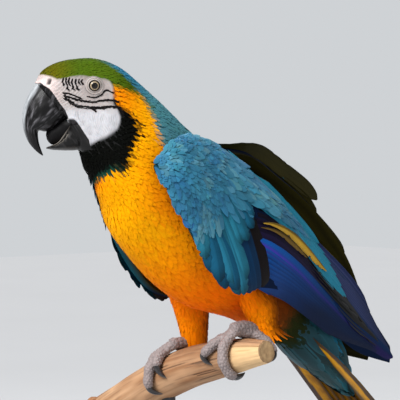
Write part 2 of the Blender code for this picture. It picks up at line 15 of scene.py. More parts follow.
import bpy
import numpy as np
from mathutils import Matrix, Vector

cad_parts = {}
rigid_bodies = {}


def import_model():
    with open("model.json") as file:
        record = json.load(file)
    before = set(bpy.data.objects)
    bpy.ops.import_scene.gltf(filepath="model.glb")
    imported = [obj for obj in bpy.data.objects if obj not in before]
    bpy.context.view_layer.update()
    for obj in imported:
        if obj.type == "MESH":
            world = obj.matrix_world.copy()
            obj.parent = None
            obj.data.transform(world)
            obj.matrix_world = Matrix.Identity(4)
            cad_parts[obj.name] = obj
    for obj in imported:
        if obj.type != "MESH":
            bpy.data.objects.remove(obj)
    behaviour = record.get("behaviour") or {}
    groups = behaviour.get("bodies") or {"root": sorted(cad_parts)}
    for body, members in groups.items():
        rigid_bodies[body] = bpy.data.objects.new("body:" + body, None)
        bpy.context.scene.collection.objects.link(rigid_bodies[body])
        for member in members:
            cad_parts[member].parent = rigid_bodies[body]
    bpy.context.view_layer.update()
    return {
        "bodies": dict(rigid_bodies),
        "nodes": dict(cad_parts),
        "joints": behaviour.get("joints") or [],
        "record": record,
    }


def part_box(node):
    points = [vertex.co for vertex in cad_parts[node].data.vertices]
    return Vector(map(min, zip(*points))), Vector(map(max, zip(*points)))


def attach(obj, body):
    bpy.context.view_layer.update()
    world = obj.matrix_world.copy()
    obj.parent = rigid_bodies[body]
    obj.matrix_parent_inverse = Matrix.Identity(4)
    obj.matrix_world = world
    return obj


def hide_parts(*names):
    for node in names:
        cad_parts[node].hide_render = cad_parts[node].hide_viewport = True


Array = np.ndarray
Colour = tuple[float, float, float]
Point = tuple[float, ...]

MM = 0.001
HEAD_CENTRE = np.array((-11.0, -137.0, 234.0))
EYE_RADIUS = 7.6
EYE_DEPTH = 20.6
UP = np.array((0.0, 0.0, 1.0))
BAKE_PATCH = 0.003
HASH = (73856093, 19349663, 83492791, 2654435761, 1274126177)
log = logging.getLogger("macaw")


class Side(Enum):
    """A side of the bird: its name and the sign of X there."""

    LEFT = 1
    RIGHT = -1

    @property
    def word(self) -> str:
        """The side's name as the nodes spell it."""
        return self.name.lower()


# ---- numbers ---------------------------------------------------------------------------------------------
def srgb(*values: float) -> Array:
    """A display colour of three numbers from 0 to 255, as linear light."""
    v = np.array(values, float) / 255
    return np.where(v <= 0.04045, v / 12.92, ((v + 0.055) / 1.055) ** 2.4)


def smooth(low: float | Array, high: float | Array, value: Array) -> Array:
    """Smoothstep: 0 below low, 1 above high, and 3x^2 - 2x^3 between them."""
    x = np.clip((value - low) / (high - low), 0, 1)
    return x * x * (3 - 2 * x)


def unit(vectors: Array) -> Array:
    """The vectors of the last axis at length one."""
    return vectors / np.maximum(np.linalg.norm(vectors, axis=-1, keepdims=True), 1e-12)


def mixed(first: Array, second: Array, share: Array) -> Array:
    """first where share is 0, second where it is 1; share has one axis fewer than the colours."""
    return first + (second - first) * np.asarray(share)[..., None]


def noise(points: Array, size: float, seed: int = 0) -> Array:
    """Value noise from -1 to 1: hashed values at the corners of cubes of that size, blended between them.

    Args:
        points: (..., 3) places.
        size: edge of a cube, in the points' unit.
        seed: which pattern.

    Returns:
        One value for each point.
    """
    p = np.asarray(points, float) / size + 1000.0
    cell = np.floor(p).astype(np.int64)
    t = p - cell
    t = t * t * (3 - 2 * t)
    total = np.zeros(p.shape[:-1])
    for corner in np.ndindex(2, 2, 2):
        c = cell + np.array(corner)
        h = (c[..., 0] * HASH[0]) ^ (c[..., 1] * HASH[1]) ^ (c[..., 2] * HASH[2]) ^ (seed * HASH[3])
        h = ((h ^ (h >> 13)) * HASH[4]) & 0xFFFFFF
        weight = np.prod(np.where(np.array(corner) == 1, t, 1 - t), axis=-1)
        total += weight * (h / 0x7FFFFF - 1.0)
    return total


def full_turn(count: int) -> Array:
    """Angles round a full turn in equal steps."""
    return np.linspace(0, 2 * math.pi, count, endpoint=False)


def net(a: Array, b: Array) -> tuple[Array, Array]:
    """Every pair of an a and a b, as two grids of (a, b)."""
    return tuple(np.meshgrid(a, b, indexing="ij"))


def from_back(turn: Array) -> Array:
    """Degrees from the back, the same on both sides, of turns in radians."""
    return np.abs((np.degrees(turn) + 180) % 360 - 180)


def outline_distance(points: Array, outline: Array) -> Array:
    """Distance of plane points from a closed outline, negative inside it.

    The nearest place on each edge is found by projection, and a point is inside where its ray crosses an odd
    number of edges.

    Args:
        points: (..., 2) places.
        outline: (n, 2) corners.

    Returns:
        One distance for each point.
    """
    a = outline
    b = np.roll(a, -1, axis=0)
    p = np.asarray(points, float)[..., None, :]
    edge = b - a
    t = np.clip(((p - a) * edge).sum(-1) / (edge**2).sum(-1), 0, 1)
    far = np.linalg.norm(p - a - t[..., None] * edge, axis=-1).min(-1)
    spans = (a[:, 1] > p[..., 1]) != (b[:, 1] > p[..., 1])
    rise = np.where(edge[:, 1] == 0, 1e-9, edge[:, 1])
    crossing = p[..., 0] < a[:, 0] + edge[:, 0] * (p[..., 1] - a[:, 1]) / rise
    inside = (spans & crossing).sum(-1) % 2 == 1
    return np.where(inside, -far, far)


class Table:
    """Rows read at fractional row numbers along a Catmull-Rom spline, straight on past both ends."""

    def __init__(self, rows: Sequence[Sequence[float]] | Array) -> None:
        """Keeps the rows with one more at each end, continued straight on."""
        r = np.asarray(rows, float)
        self.last = len(r) - 1
        self.rows = np.vstack((2 * r[0] - r[1], r, 2 * r[-1] - r[-2]))

    def __call__(self, at: Array | float) -> Array:
        """The row at each number: 0.5 (2b + (c - a) t + ... t^2 + ... t^3) of its four neighbours.

        Args:
            at: row numbers, of any shape.

        Returns:
            One row for each number.
        """
        at = np.asarray(at, float)
        k = np.clip(np.floor(at).astype(int), 0, self.last - 1)
        t = (at - k)[..., None]
        a, b, c, d = (self.rows[k + i] for i in range(4))
        return 0.5 * (2 * b + (c - a) * t + (2 * a - 5 * b + 4 * c - d) * t**2
                      + (3 * b - a - 3 * c + d) * t**3)


def curve(values: Sequence[float], at: Array) -> Array:
    """Single numbers read at fractional places along their spline."""
    return Table(np.array(values, float)[:, None])(at)[..., 0]


# ---- frames ----------------------------------------------------------------------------------------------
class BirdFrame:
    """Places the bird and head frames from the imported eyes, whose midpoint and axis are known in both."""

    def __init__(self) -> None:
        """Finds the origin and the axes from the middles of the two packed eyes."""
        eyes = [np.mean([np.array(c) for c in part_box(f"eye_{side.word}")], axis=0) for side in Side]
        self.origin = (eyes[0] + eyes[1]) / 2 - HEAD_CENTRE * MM
        self.left = unit((eyes[0] - eyes[1]) * (1, 1, 0))
        self.ahead = np.cross(self.left, UP)

    def metres(self, points: Array) -> Array:
        """Bird-frame millimetres as the part's metres."""
        return points * MM + self.origin

    def from_head(self, forward: Array | float, up: Array | float, left: Array | float = 0.0) -> Array:
        """Head-frame places as bird-frame millimetres."""
        f, u, side = (np.asarray(v, float)[..., None] for v in (forward, up, left))
        return HEAD_CENTRE + self.ahead * f + self.left * side + UP * u

    def to_head(self, points: Array) -> tuple[Array, Array, Array]:
        """(forward, up, left) in the head frame of bird-frame points."""
        p = points - HEAD_CENTRE
        return p @ self.ahead, p @ UP, p @ self.left


def turned(degrees: Array) -> Array:
    """Unit vectors to the left of a body turned to its right by these angles."""
    a = np.radians(degrees)
    return np.stack((np.cos(a), -np.sin(a), np.zeros_like(a)), -1)


# ---- meshes ----------------------------------------------------------------------------------------------
@dataclass
class Shape:
    """A mesh in the making: bird-frame points, faces by corner count, and what each face corner carries."""

    points: Array
    faces: list[Array]
    tint: Array | None = None
    maps: dict[str, Array] = field(default_factory=dict)

    def corners(self) -> Array:
        """The point number of every face corner, in the order that the mesh holds them."""
        return np.concatenate([f.ravel() for f in self.faces])

    def spread(self, per_point: Array) -> Array:
        """Values given for each point, as values for each face corner."""
        return per_point[self.corners()]

    def mesh(self, name: str, frame: BirdFrame, sharp: float = 60.0) -> bpy.types.Object:
        """Makes the object.

        Args:
            name: the object's name.
            frame: puts the points in metres.
            sharp: degrees of bend from which an edge isn't shaded smooth.

        Returns:
            The object, at the origin.
        """
        made = bpy.data.meshes.new(name)
        corners = self.corners()
        totals = np.concatenate([np.full(len(f), f.shape[1]) for f in self.faces])
        made.vertices.add(len(self.points))
        made.vertices.foreach_set("co", frame.metres(self.points).astype(np.float32).ravel())
        made.loops.add(len(corners))
        made.loops.foreach_set("vertex_index", corners.astype(np.int32))
        made.polygons.add(len(totals))
        starts = np.concatenate(([0], np.cumsum(totals)[:-1]))
        made.polygons.foreach_set("loop_start", starts.astype(np.int32))
        for title, values in self.maps.items():
            made.uv_layers.new(name=title).uv.foreach_set("vector", values.astype(np.float32).ravel())
        if self.tint is not None:
            colour = made.attributes.new("tint", "FLOAT_COLOR", "CORNER")
            rgba = np.concatenate((np.clip(self.tint, 0, 1), np.ones((len(corners), 1))), axis=1)
            colour.data.foreach_set("color", rgba.astype(np.float32).ravel())
        made.update(calc_edges=True)
        made.validate()
        made.shade_smooth()
        made.set_sharp_from_angle(angle=math.radians(sharp))
        obj = bpy.data.objects.new(name, made)
        bpy.context.scene.collection.objects.link(obj)
        return obj

    def piece(self, name: str, frame: BirdFrame, finish: "Finish", sharp: float = 60.0) -> bpy.types.Object:
        """Makes the object and dresses it in a finish."""
        obj = self.mesh(name, frame, sharp)
        finish.dress(obj)
        return obj


def joined(shapes: Sequence[Shape]) -> Shape:
    """Several shapes as one.

    Args:
        shapes: each holds the same maps.

    Returns:
        The shape, where faces of equal corner counts come together.
    """
    starts = np.cumsum([0] + [len(s.points) for s in shapes[:-1]])
    counts = sorted({f.shape[1] for s in shapes for f in s.faces})
    faces, tints, maps = [], [], {name: [] for name in shapes[0].maps}
    for count in counts:
        chosen = []
        for shape, start in zip(shapes, starts):
            at = 0
            for f in shape.faces:
                span = slice(at, at + f.size)
                at += f.size
                if f.shape[1] == count:
                    chosen.append(f + start)
                    tints.append(None if shape.tint is None else shape.tint[span])
                    for name in maps:
                        maps[name].append(shape.maps[name][span])
        faces.append(np.concatenate(chosen))
    tint = None if shapes[0].tint is None else np.concatenate(tints)
    maps = {name: np.concatenate(values) for name, values in maps.items()}
    return Shape(np.concatenate([s.points for s in shapes]), faces, tint, maps)


def grid_faces(rows: int, columns: int) -> Array:
    """Quads of a grid of points stored row by row, whose last column joins the first."""
    i, j = net(np.arange(rows - 1) * columns, np.arange(columns))
    k = (j + 1) % columns
    return np.stack((i + j, i + k, i + columns + k, i + columns + j), -1).reshape(-1, 4)


def tube(grid: Array, tint: Array | None = None, maps: dict[str, Array] | None = None) -> Shape:
    """A closed shape from a grid of rings, each end drawn to its ring's middle.

    Its faces are turned round if its volume, the sum of p0 . (p1 x p2) over its triangles, is negative.

    Args:
        grid: (rows, columns, 3) rings of points.
        tint: (rows, columns, 3) colours.
        maps: (rows, columns, 2) map places by map name.

    Returns:
        The shape, with its end rings fanned to one more point each.
    """
    rows, columns = grid.shape[:2]
    ring = np.arange(columns)
    following = np.roll(ring, -1)
    last = (rows - 1) * columns
    start = np.stack((following, ring, np.full(columns, last + columns)), -1)
    end = np.stack((ring + last, following + last, np.full(columns, last + columns + 1)), -1)

    def flat(values: Array) -> Array:
        """The grid's values row by row, and then those of the two ends' middles."""
        ends = np.stack((values[0].mean(0), values[-1].mean(0)))
        return np.concatenate((values.reshape(-1, values.shape[-1]), ends))

    shape = Shape(flat(grid), [grid_faces(rows, columns), np.concatenate((start, end))])
    volume = 0.0
    for faces in shape.faces:
        p = shape.points[faces] - shape.points.mean(0)
        for i in range(1, faces.shape[1] - 1):
            volume += np.einsum("ij,ij->", p[:, 0], np.cross(p[:, i], p[:, i + 1]))
    if volume < 0:
        shape.faces = [faces[:, ::-1] for faces in shape.faces]
    shape.tint = None if tint is None else shape.spread(flat(tint))
    shape.maps = {name: shape.spread(flat(values)) for name, values in (maps or {}).items()}
    return shape


# ---- finishes --------------------------------------------------------------------------------------------
class Tree:
    """A node tree being built, where a node's inputs are given as numbers or as other nodes' sockets."""

    def __init__(self, tree: bpy.types.NodeTree) -> None:
        """Keeps the tree that nodes are added to."""
        self.tree = tree

    def node(self, kind: str, inputs: dict[str | int, object] | None = None,
             **settings: object) -> bpy.types.Node:
        """Adds a node.

        Args:
            kind: its type without the ShaderNode prefix, or in full for a group's ends.
            inputs: value or socket for each input, by name or number.
            settings: the node's own properties.

        Returns:
            The node.
        """
        made = self.tree.nodes.new(kind if kind.startswith("Node") else "ShaderNode" + kind)
        for name, value in settings.items():
            setattr(made, name, value)
        for name, value in (inputs or {}).items():
            if isinstance(value, bpy.types.NodeSocket):
                self.tree.links.new(value, made.inputs[name])
            else:
                made.inputs[name].default_value = value
        return made

    def maths(self, operation: str, first: object, second: object = 0.0) -> bpy.types.NodeSocket:
        """The output of a Math node."""
        return self.node("Math", {0: first, 1: second}, operation=operation).outputs[0]

    def scaled(self, colour: object, value: object) -> bpy.types.NodeSocket:
        """A colour multiplied by a number."""
        return self.node("VectorMath", {0: colour, "Scale": value}, operation="SCALE").outputs[0]


def group(name: str, inputs: dict[str, float], fill: Callable[[Tree, object], dict]) -> None:
    """Makes a shader node group that puts out a Value for the colour and a Height for the bump.

    Args:
        name: the group's name.
        inputs: its number inputs and their usual values.
        fill: builds the inside and gives a socket for each output.
    """
    tree = bpy.data.node_groups.new(name, "ShaderNodeTree")
    for title, value in inputs.items():
        tree.interface.new_socket(title, in_out="INPUT", socket_type="NodeSocketFloat").default_value = value
    for title in ("Value", "Height"):
        tree.interface.new_socket(title, in_out="OUTPUT", socket_type="NodeSocketFloat")
    inside = Tree(tree)
    source = inside.node("NodeGroupInput")
    made = fill(inside, source.outputs)
    inside.node("NodeGroupOutput", made)


def fill_barbs(tree: Tree, given: object) -> dict:
    """Barbs that lean from the shaft to the tip: noise along (distance along - 0.9 |distance across|).

    Args:
        tree: the group's inside.
        given: the group's inputs.

    Returns:
        A socket for each output.
    """
    place = tree.node("SeparateXYZ", {0: tree.node("UVMap", uv_map="vane").outputs[0]}).outputs
    across = tree.maths("ABSOLUTE", place[0])
    along = tree.maths("SUBTRACT", place[1], tree.maths("MULTIPLY", across, 0.9))
    fine = tree.node("CombineXYZ", {0: tree.maths("MULTIPLY", along, given["Fineness"]),
                                    1: across}).outputs[0]
    barbs = tree.node("TexNoise", {"Vector": fine, "Scale": 1.0, "Detail": 2.0},
                      noise_dimensions="2D").outputs[0]
    shaft = tree.node("MapRange", {0: across, 1: 0.0, 2: 0.09, 3: 1.0, 4: 0.0}).outputs[0]
    shaft = tree.maths("MULTIPLY", shaft, given["Shaft"])
    swing = tree.maths("MULTIPLY", tree.maths("SUBTRACT", barbs, 0.5), given["Contrast"])
    value = tree.maths("SUBTRACT", tree.maths("ADD", swing, 1.0), tree.maths("MULTIPLY", shaft, 0.35))
    return {"Value": value, "Height": tree.maths("ADD", barbs, shaft)}


def fill_tone(tree: Tree, given: object) -> dict:
    """Slow change of lightness: noise of the object's own coordinates, Grain blotches a metre.

    Args:
        tree: the group's inside.
        given: the group's inputs.

    Returns:
        A socket for each output.
    """
    place = tree.node("TexCoord").outputs["Object"]
    spots = tree.node("TexNoise", {"Vector": place, "Scale": given["Grain"], "Detail": 3.0}).outputs[0]
    swing = tree.maths("MULTIPLY", tree.maths("SUBTRACT", spots, 0.5), given["Contrast"])
    return {"Value": tree.maths("ADD", swing, 1.0), "Height": spots}


def make_groups() -> None:
    """The effects that several materials share."""
    group("barbs", {"Fineness": 14.0, "Contrast": 0.3, "Shaft": 0.0}, fill_barbs)
    group("tone", {"Grain": 60.0, "Contrast": 0.3}, fill_tone)


@dataclass(frozen=True)
class Finish:
    """A painted or grown surface: its colour comes from the mesh's tint, or is one colour."""

    name: str
    roughness: float
    grain: float = 60.0
    tone: float = 0.25
    bump: float = 0.15
    bump_depth: float = 0.0004
    specular: float = 0.5
    coat: float = 0.0
    sheen: float = 0.0
    soft: float = 0.0
    colour: Colour | None = None
    fineness: float = 0.0
    barbs: float = 0.0
    shaft: float = 0.0

    def material(self) -> bpy.types.Material:
        """Makes the finish's material on first use: tint x tone x barbs, a rough sheen and a fine bump.

        A packed material of the same name is used as it is.

        Returns:
            The material of this name.
        """
        if self.name in bpy.data.materials:
            return bpy.data.materials[self.name]
        made = bpy.data.materials.new(self.name)
        made.use_nodes = True
        tree = Tree(made.node_tree)
        shader = made.node_tree.nodes["Principled BSDF"]
        groups = bpy.data.node_groups
        tone = tree.node("Group", node_tree=groups["tone"])
        tone.inputs["Grain"].default_value = self.grain
        tone.inputs["Contrast"].default_value = self.tone
        value, height = tone.outputs["Value"], tone.outputs["Height"]
        if self.fineness:
            barbs = tree.node("Group", node_tree=groups["barbs"])
            barbs.inputs["Fineness"].default_value = self.fineness
            barbs.inputs["Contrast"].default_value = self.barbs
            barbs.inputs["Shaft"].default_value = self.shaft
            value = tree.maths("MULTIPLY", value, barbs.outputs["Value"])
            height = barbs.outputs["Height"]
        if self.colour is None:
            base = tree.node("Attribute", attribute_name="tint").outputs["Color"]
        else:
            base = tree.node("RGB").outputs[0]
            base.default_value = (*srgb(*self.colour), 1.0)
        link = made.node_tree.links.new
        link(tree.scaled(base, value), shader.inputs["Base Color"])
        rough = tree.node("MapRange", {0: tone.outputs["Value"], 1: 0.85, 2: 1.15, 3: self.roughness * 0.88,
                                       4: min(1.0, self.roughness * 1.12)}).outputs[0]
        link(rough, shader.inputs["Roughness"])
        bump = tree.node("Bump", {"Strength": self.bump, "Distance": self.bump_depth, "Height": height})
        link(bump.outputs[0], shader.inputs["Normal"])
        for socket, number in (("Specular IOR Level", self.specular), ("Coat Weight", self.coat),
                               ("Coat Roughness", 0.12), ("Sheen Weight", self.sheen),
                               ("Sheen Roughness", 0.4), ("Subsurface Weight", self.soft),
                               ("Subsurface Radius", (0.003, 0.0015, 0.001)), ("Subsurface Scale", 0.5)):
            shader.inputs[socket].default_value = number
        return made

    def dress(self, obj: bpy.types.Object) -> None:
        """Gives the object this one material."""
        obj.data.materials.clear()
        obj.data.materials.append(self.material())


CONTOUR = Finish("contour_feathers", 0.8, grain=45, tone=0.14, bump=0.12, bump_depth=0.0002, specular=0.05,
                 fineness=10, barbs=0.14)
COVERT = Finish("covert_feathers", 0.6, grain=35, tone=0.25, bump=0.25, bump_depth=0.0003, specular=0.2,
                sheen=0.03, fineness=9, barbs=0.25, shaft=0.1)
QUILL = Finish("flight_feathers", 0.5, grain=20, tone=0.2, bump=0.25, bump_depth=0.0003, specular=0.08,
               fineness=8, barbs=0.28, shaft=0.4)
SKIN = Finish("bare_skin", 0.6, grain=420, tone=0.12, bump=0.35, bump_depth=0.0004, specular=0.4, soft=0.1)
HORN = Finish("bill_horn", 0.42, grain=130, tone=0.15, bump=0.2, bump_depth=0.0003, specular=0.22, coat=0.06)
CLAW = Finish("claw_horn", 0.28, grain=200, tone=0.3, bump=0.1, coat=0.3)
TONGUE = Finish("tongue_skin", 0.6, grain=500, tone=0.3, bump=0.3, specular=0.15, colour=(12, 11, 12))
EYEBALL = Finish("eyeball", 0.35, grain=600, tone=0.08, bump=0.02, specular=0.2, coat=0.4)
SCALES = Finish("foot_scales", 0.68, grain=350, tone=0.3, bump=0.35, bump_depth=0.0004, specular=0.35)
WOOD = Finish("bare_wood", 0.78, grain=90, tone=0.3, bump=0.5, bump_depth=0.0008, specular=0.3)
METAL = Finish("stand_coating", 0.42, grain=900, tone=0.25, bump=0.25, bump_depth=0.0002,
               colour=(42, 43, 46))
FLOOR = Finish("studio_floor", 0.85, grain=3, tone=0.04, bump=0.0, specular=0.2, colour=(205, 206, 208))


# ---- body ------------------------------------------------------------------------------------------------
class Surface:
    """A surface of two numbers: a runs with the feathers' lie, and b across it."""

    facing = 1.0
    step = 0.02

    def point(self, a: Array, b: Array, lift: Array | float = 0.0) -> Array:
        """Places on the surface, grown outwards by lift."""
        raise NotImplementedError

    def slopes(self, a: Array, b: Array) -> tuple[Array, Array]:
        """Change of place per unit of a and of b, by central differences.

        Args:
            a, b: where on the surface.

        Returns:
            Vectors along a and along b.
        """
        e = self.step
        along = (self.point(a + e, b) - self.point(a - e, b)) / (2 * e)
        return along, (self.point(a, b + e) - self.point(a, b - e)) / (2 * e)

    def spot(self, a: Array, b: Array, lift: Array) -> tuple[Array, Array]:
        """Places off the surface.

        Args:
            a, b: where on the surface.
            lift: height along the normal.

        Returns:
            The places and the outward normals there.
        """
        along, around = self.slopes(a, b)
        normal = unit(np.cross(around, along)) * self.facing
        return self.point(a, b) + normal * np.asarray(lift)[..., None], normal


class Body(Surface):
    """The flesh's outline: oval sections from face to tail, read at (section, turn from the back).

    A section is an oval between its dorsal and ventral points. Its upper and lower halves are half ellipses
    that meet at the widest place, and turn is the angle from the dorsal point towards the bird's left.
    """

    HEAD = (  # (forward, up) dorsal, (forward, up) ventral, half width, widest share
        (49.7, 2.6, 3.9, -55.8, 17.0, 0.50),
        (45.5, 12.5, 7.5, -60.5, 21.5, 0.52),
        (34.0, 20.0, 9.0, -66.0, 25.0, 0.53),
        (18.0, 24.0, 8.0, -72.5, 27.5, 0.54),
        (-3.0, 24.5, 3.8, -79.5, 29.5, 0.52),
        (-24.0, 17.0, -1.5, -87.0, 32.0, 0.48),
    )
    REST = (  # dorsal x y z, ventral x y z, half width, widest share, turn to the bird's right
        (5, -95, 236, -6, -136, 139, 34.5, 0.46, 28),
        (4, -71, 219, -3, -130, 126, 39.0, 0.46, 16),
        (1, -44, 199, -1, -122, 108, 43.0, 0.48, 6),
        (0, -12, 178, 0, -103, 86, 45.5, 0.50, 0),
        (0, 20, 155, 0, -68, 54, 46.5, 0.50, 0),
        (0, 50, 128, 0, -30, 33, 45.0, 0.48, 0),
        (0, 76, 100, 0, 18, 20, 40.0, 0.46, 0),
        (0, 95, 72, 0, 54, 6, 32.0, 0.46, 0),
        (0, 103, 48, 0, 78, -6, 25.0, 0.50, 0),
        (0, 124, 28, 0, 102, -24, 27.0, 0.50, 0),
        (0, 144, 6, 0, 132, -42, 26.0, 0.50, 0),
        (0, 160, -14, 0, 158, -56, 18.0, 0.50, 0),
        (0, 172, -38, 0, 174, -62, 7.0, 0.50, 0),
    )
    LAST = 18.0
    HEAD_TURN = 35.0

    def __init__(self, frame: BirdFrame) -> None:
        """Joins the head's sections, given in the head frame, to those of neck, trunk and tail."""
        self.frame = frame
        f, u, under_f, under_u, *rest = np.array(self.HEAD).T
        turn = np.full(len(f), self.HEAD_TURN)
        front = np.hstack((frame.from_head(f, u), frame.from_head(under_f, under_u),
                           np.stack((*rest, turn), -1)))
        self.table = Table(np.vstack((front, self.REST)))

    def point(self, section: Array, turn: Array, lift: Array | float = 0.0) -> Array:
        """Places on the outline: centre + upward cos(turn) height share + left sin(turn) half width.

        Args:
            section: section numbers from the face back.
            turn: radians from the back towards the left.
            lift: growth outwards.

        Returns:
            The places.
        """
        row = self.table(section)
        dorsal, ventral, width, widest = row[..., :3], row[..., 3:6], row[..., 6], row[..., 7]
        height = np.linalg.norm(dorsal - ventral, axis=-1)
        upward = unit(dorsal - ventral)
        centre = ventral + upward * (height * widest)[..., None]
        c, s = np.cos(turn), np.sin(turn)
        reach = np.where(c > 0, height * (1 - widest), height * widest) + lift
        sideways = turned(row[..., 8]) * (s * (width + lift))[..., None]
        return centre + upward * (c * reach)[..., None] + sideways

    @staticmethod
    def unwrap(section: Array, turn: Array) -> Array:
        """Places on the flat unwrap of the skin: turn across, section up."""
        wrapped = (turn / (2 * math.pi) + 0.5) % 1.0
        return np.stack((0.02 + 0.96 * wrapped, 0.02 + 0.96 * np.clip(section, -1, 19) / 19), -1)


class Markings:
    """Where each colour lies, as outlines in (section, degrees from the back), the same both sides."""

    FACE = ((-1, 0), (0.62, 0), (0.85, 15), (1.2, 30), (1.6, 42), (1.83, 48), (2.4, 50), (3.28, 48),
            (3.95, 50), (4.42, 46), (4.65, 46), (4.82, 50), (4.9, 58), (4.98, 67), (5.25, 69), (5.45, 73),
            (5.5, 79), (5.45, 85), (5.2, 93), (4.9, 101), (4.23, 114), (3.73, 123), (3.1, 132), (2.0, 142),
            (0.9, 150), (-1, 152))
    THROAT = ((4.9, 62), (5.4, 64), (5.75, 64), (6.12, 65), (6.38, 71), (6.43, 80), (6.38, 93), (6.35, 100),
              (6.15, 111), (5.9, 120), (5.58, 131), (5.1, 142), (4.85, 160), (4.75, 190), (-1, 190),
              (-1, 130), (3.0, 120), (4.6, 90))
    BACK_EDGE = (90, 90, 85, 75, 62, 50, 38, 66, 80, 88, 92, 95, 96, 92, 60, 0, 0, 0, 0)
    DEPTH = (0.8, 0.9, 1.0, 1.1, 1.2, 1.4, 1.6, 1.9, 2.1, 2.2, 2.3, 2.4, 2.6, 3.0, 4.0, 4.5, 4.5, 4.0, 2.0)
    SCALE = np.array((12.0, 0.5))  # millimetres to a section and to a degree of turn
    OLIVE, GREEN, TURQUOISE = srgb(92, 90, 8), srgb(70, 94, 12), srgb(46, 120, 150)
    NAPE, GOLD, ORANGE = srgb(72, 130, 140), srgb(248, 166, 0), srgb(248, 106, 0)
    # RUST is a dark brown-orange painted as shade: on the hind belly and on the thighs' hind side and top.
    BLACK, TEAL, RUST = srgb(5, 6, 4), srgb(20, 66, 72), srgb(104, 46, 2)
    FRINGE = srgb(20, 62, 50)
    BLUE, MOSS = srgb(40, 118, 150), srgb(34, 40, 14)

    def from_outline(self, section: Array, turn: Array, outline: Sequence[Point]) -> Array:
        """Rough distance in millimetres outside an outline, negative inside."""
        return outline_distance(np.stack((section, from_back(turn)), -1) * self.SCALE,
                                np.array(outline) * self.SCALE)

    def face(self, section: Array, turn: Array) -> Array:
        """Distance outside the bare face."""
        return self.from_outline(section, turn, self.FACE)

    def plumage(self, section: Array, turn: Array, ragged: Array | float = 0.0) -> Array:
        """Colour of the feathers, mixed from one colour to the next across each edge, with painted shade on
        the hind belly.

        Args:
            section: section numbers from the face back.
            turn: radians from the back.
            ragged: millimetres by which the edges between colours shift.

        Returns:
            One colour for each place.
        """
        degrees = from_back(turn)
        gold = mixed(self.GOLD, self.ORANGE, np.maximum(
            smooth(8.0, 11.0, section) * 0.95, smooth(150, 88, degrees) * smooth(6.3, 8.5, section) * 0.85))
        gold = mixed(gold, self.ORANGE, 0.5 * smooth(6.4, 5.2, section))
        # Painted shade: the hind belly darkens to brown-orange towards the vent.
        gold = mixed(gold, self.RUST, smooth(10.8, 12.6, section) * smooth(168, 125, degrees))
        crown = mixed(self.OLIVE, self.GREEN, smooth(1.6, 3.4, section))
        blue_from = 4.4 + 1.9 * smooth(14, 40, degrees)
        blue = mixed(self.TURQUOISE, self.NAPE, smooth(5.4, 6.6, section))
        blue = mixed(blue, self.BLUE, smooth(8.5, 11.0, section))
        top = mixed(crown, blue, smooth(blue_from - 0.5, blue_from + 0.5, section + ragged / 12))
        edge = curve(self.BACK_EDGE, np.clip(section, 0, Body.LAST))
        colour = mixed(top, gold, smooth(-3.0, 3.0, (degrees - edge) * 0.5 + ragged))
        behind = section - 0.8 * smooth(70, 95, degrees) + ragged / 24
        colour = mixed(colour, mixed(self.BLUE, self.MOSS, smooth(60, 90, degrees)),
                       smooth(11.7, 12.9, behind))
        colour = mixed(colour, mixed(self.BLUE, self.TEAL, smooth(60, 110, degrees)),
                       smooth(13.1, 14.3, behind))
        throat = self.from_outline(section, turn, self.THROAT) - 0.3 - 3.2 * smooth(85, 118, degrees)
        fringe = mixed(self.BLACK, self.FRINGE, smooth(-5.0, -1.0, throat) * smooth(105, 130, degrees))
        return mixed(fringe, colour, smooth(-1.2, 1.6, throat + ragged))

    def coat_depth(self, section: Array, turn: Array) -> Array:
        """How deep the skin lies under the outline: nothing on the face, then with the feathers' length."""
        return curve(self.DEPTH, section) * smooth(-0.5, 2.2, self.face(section, turn))


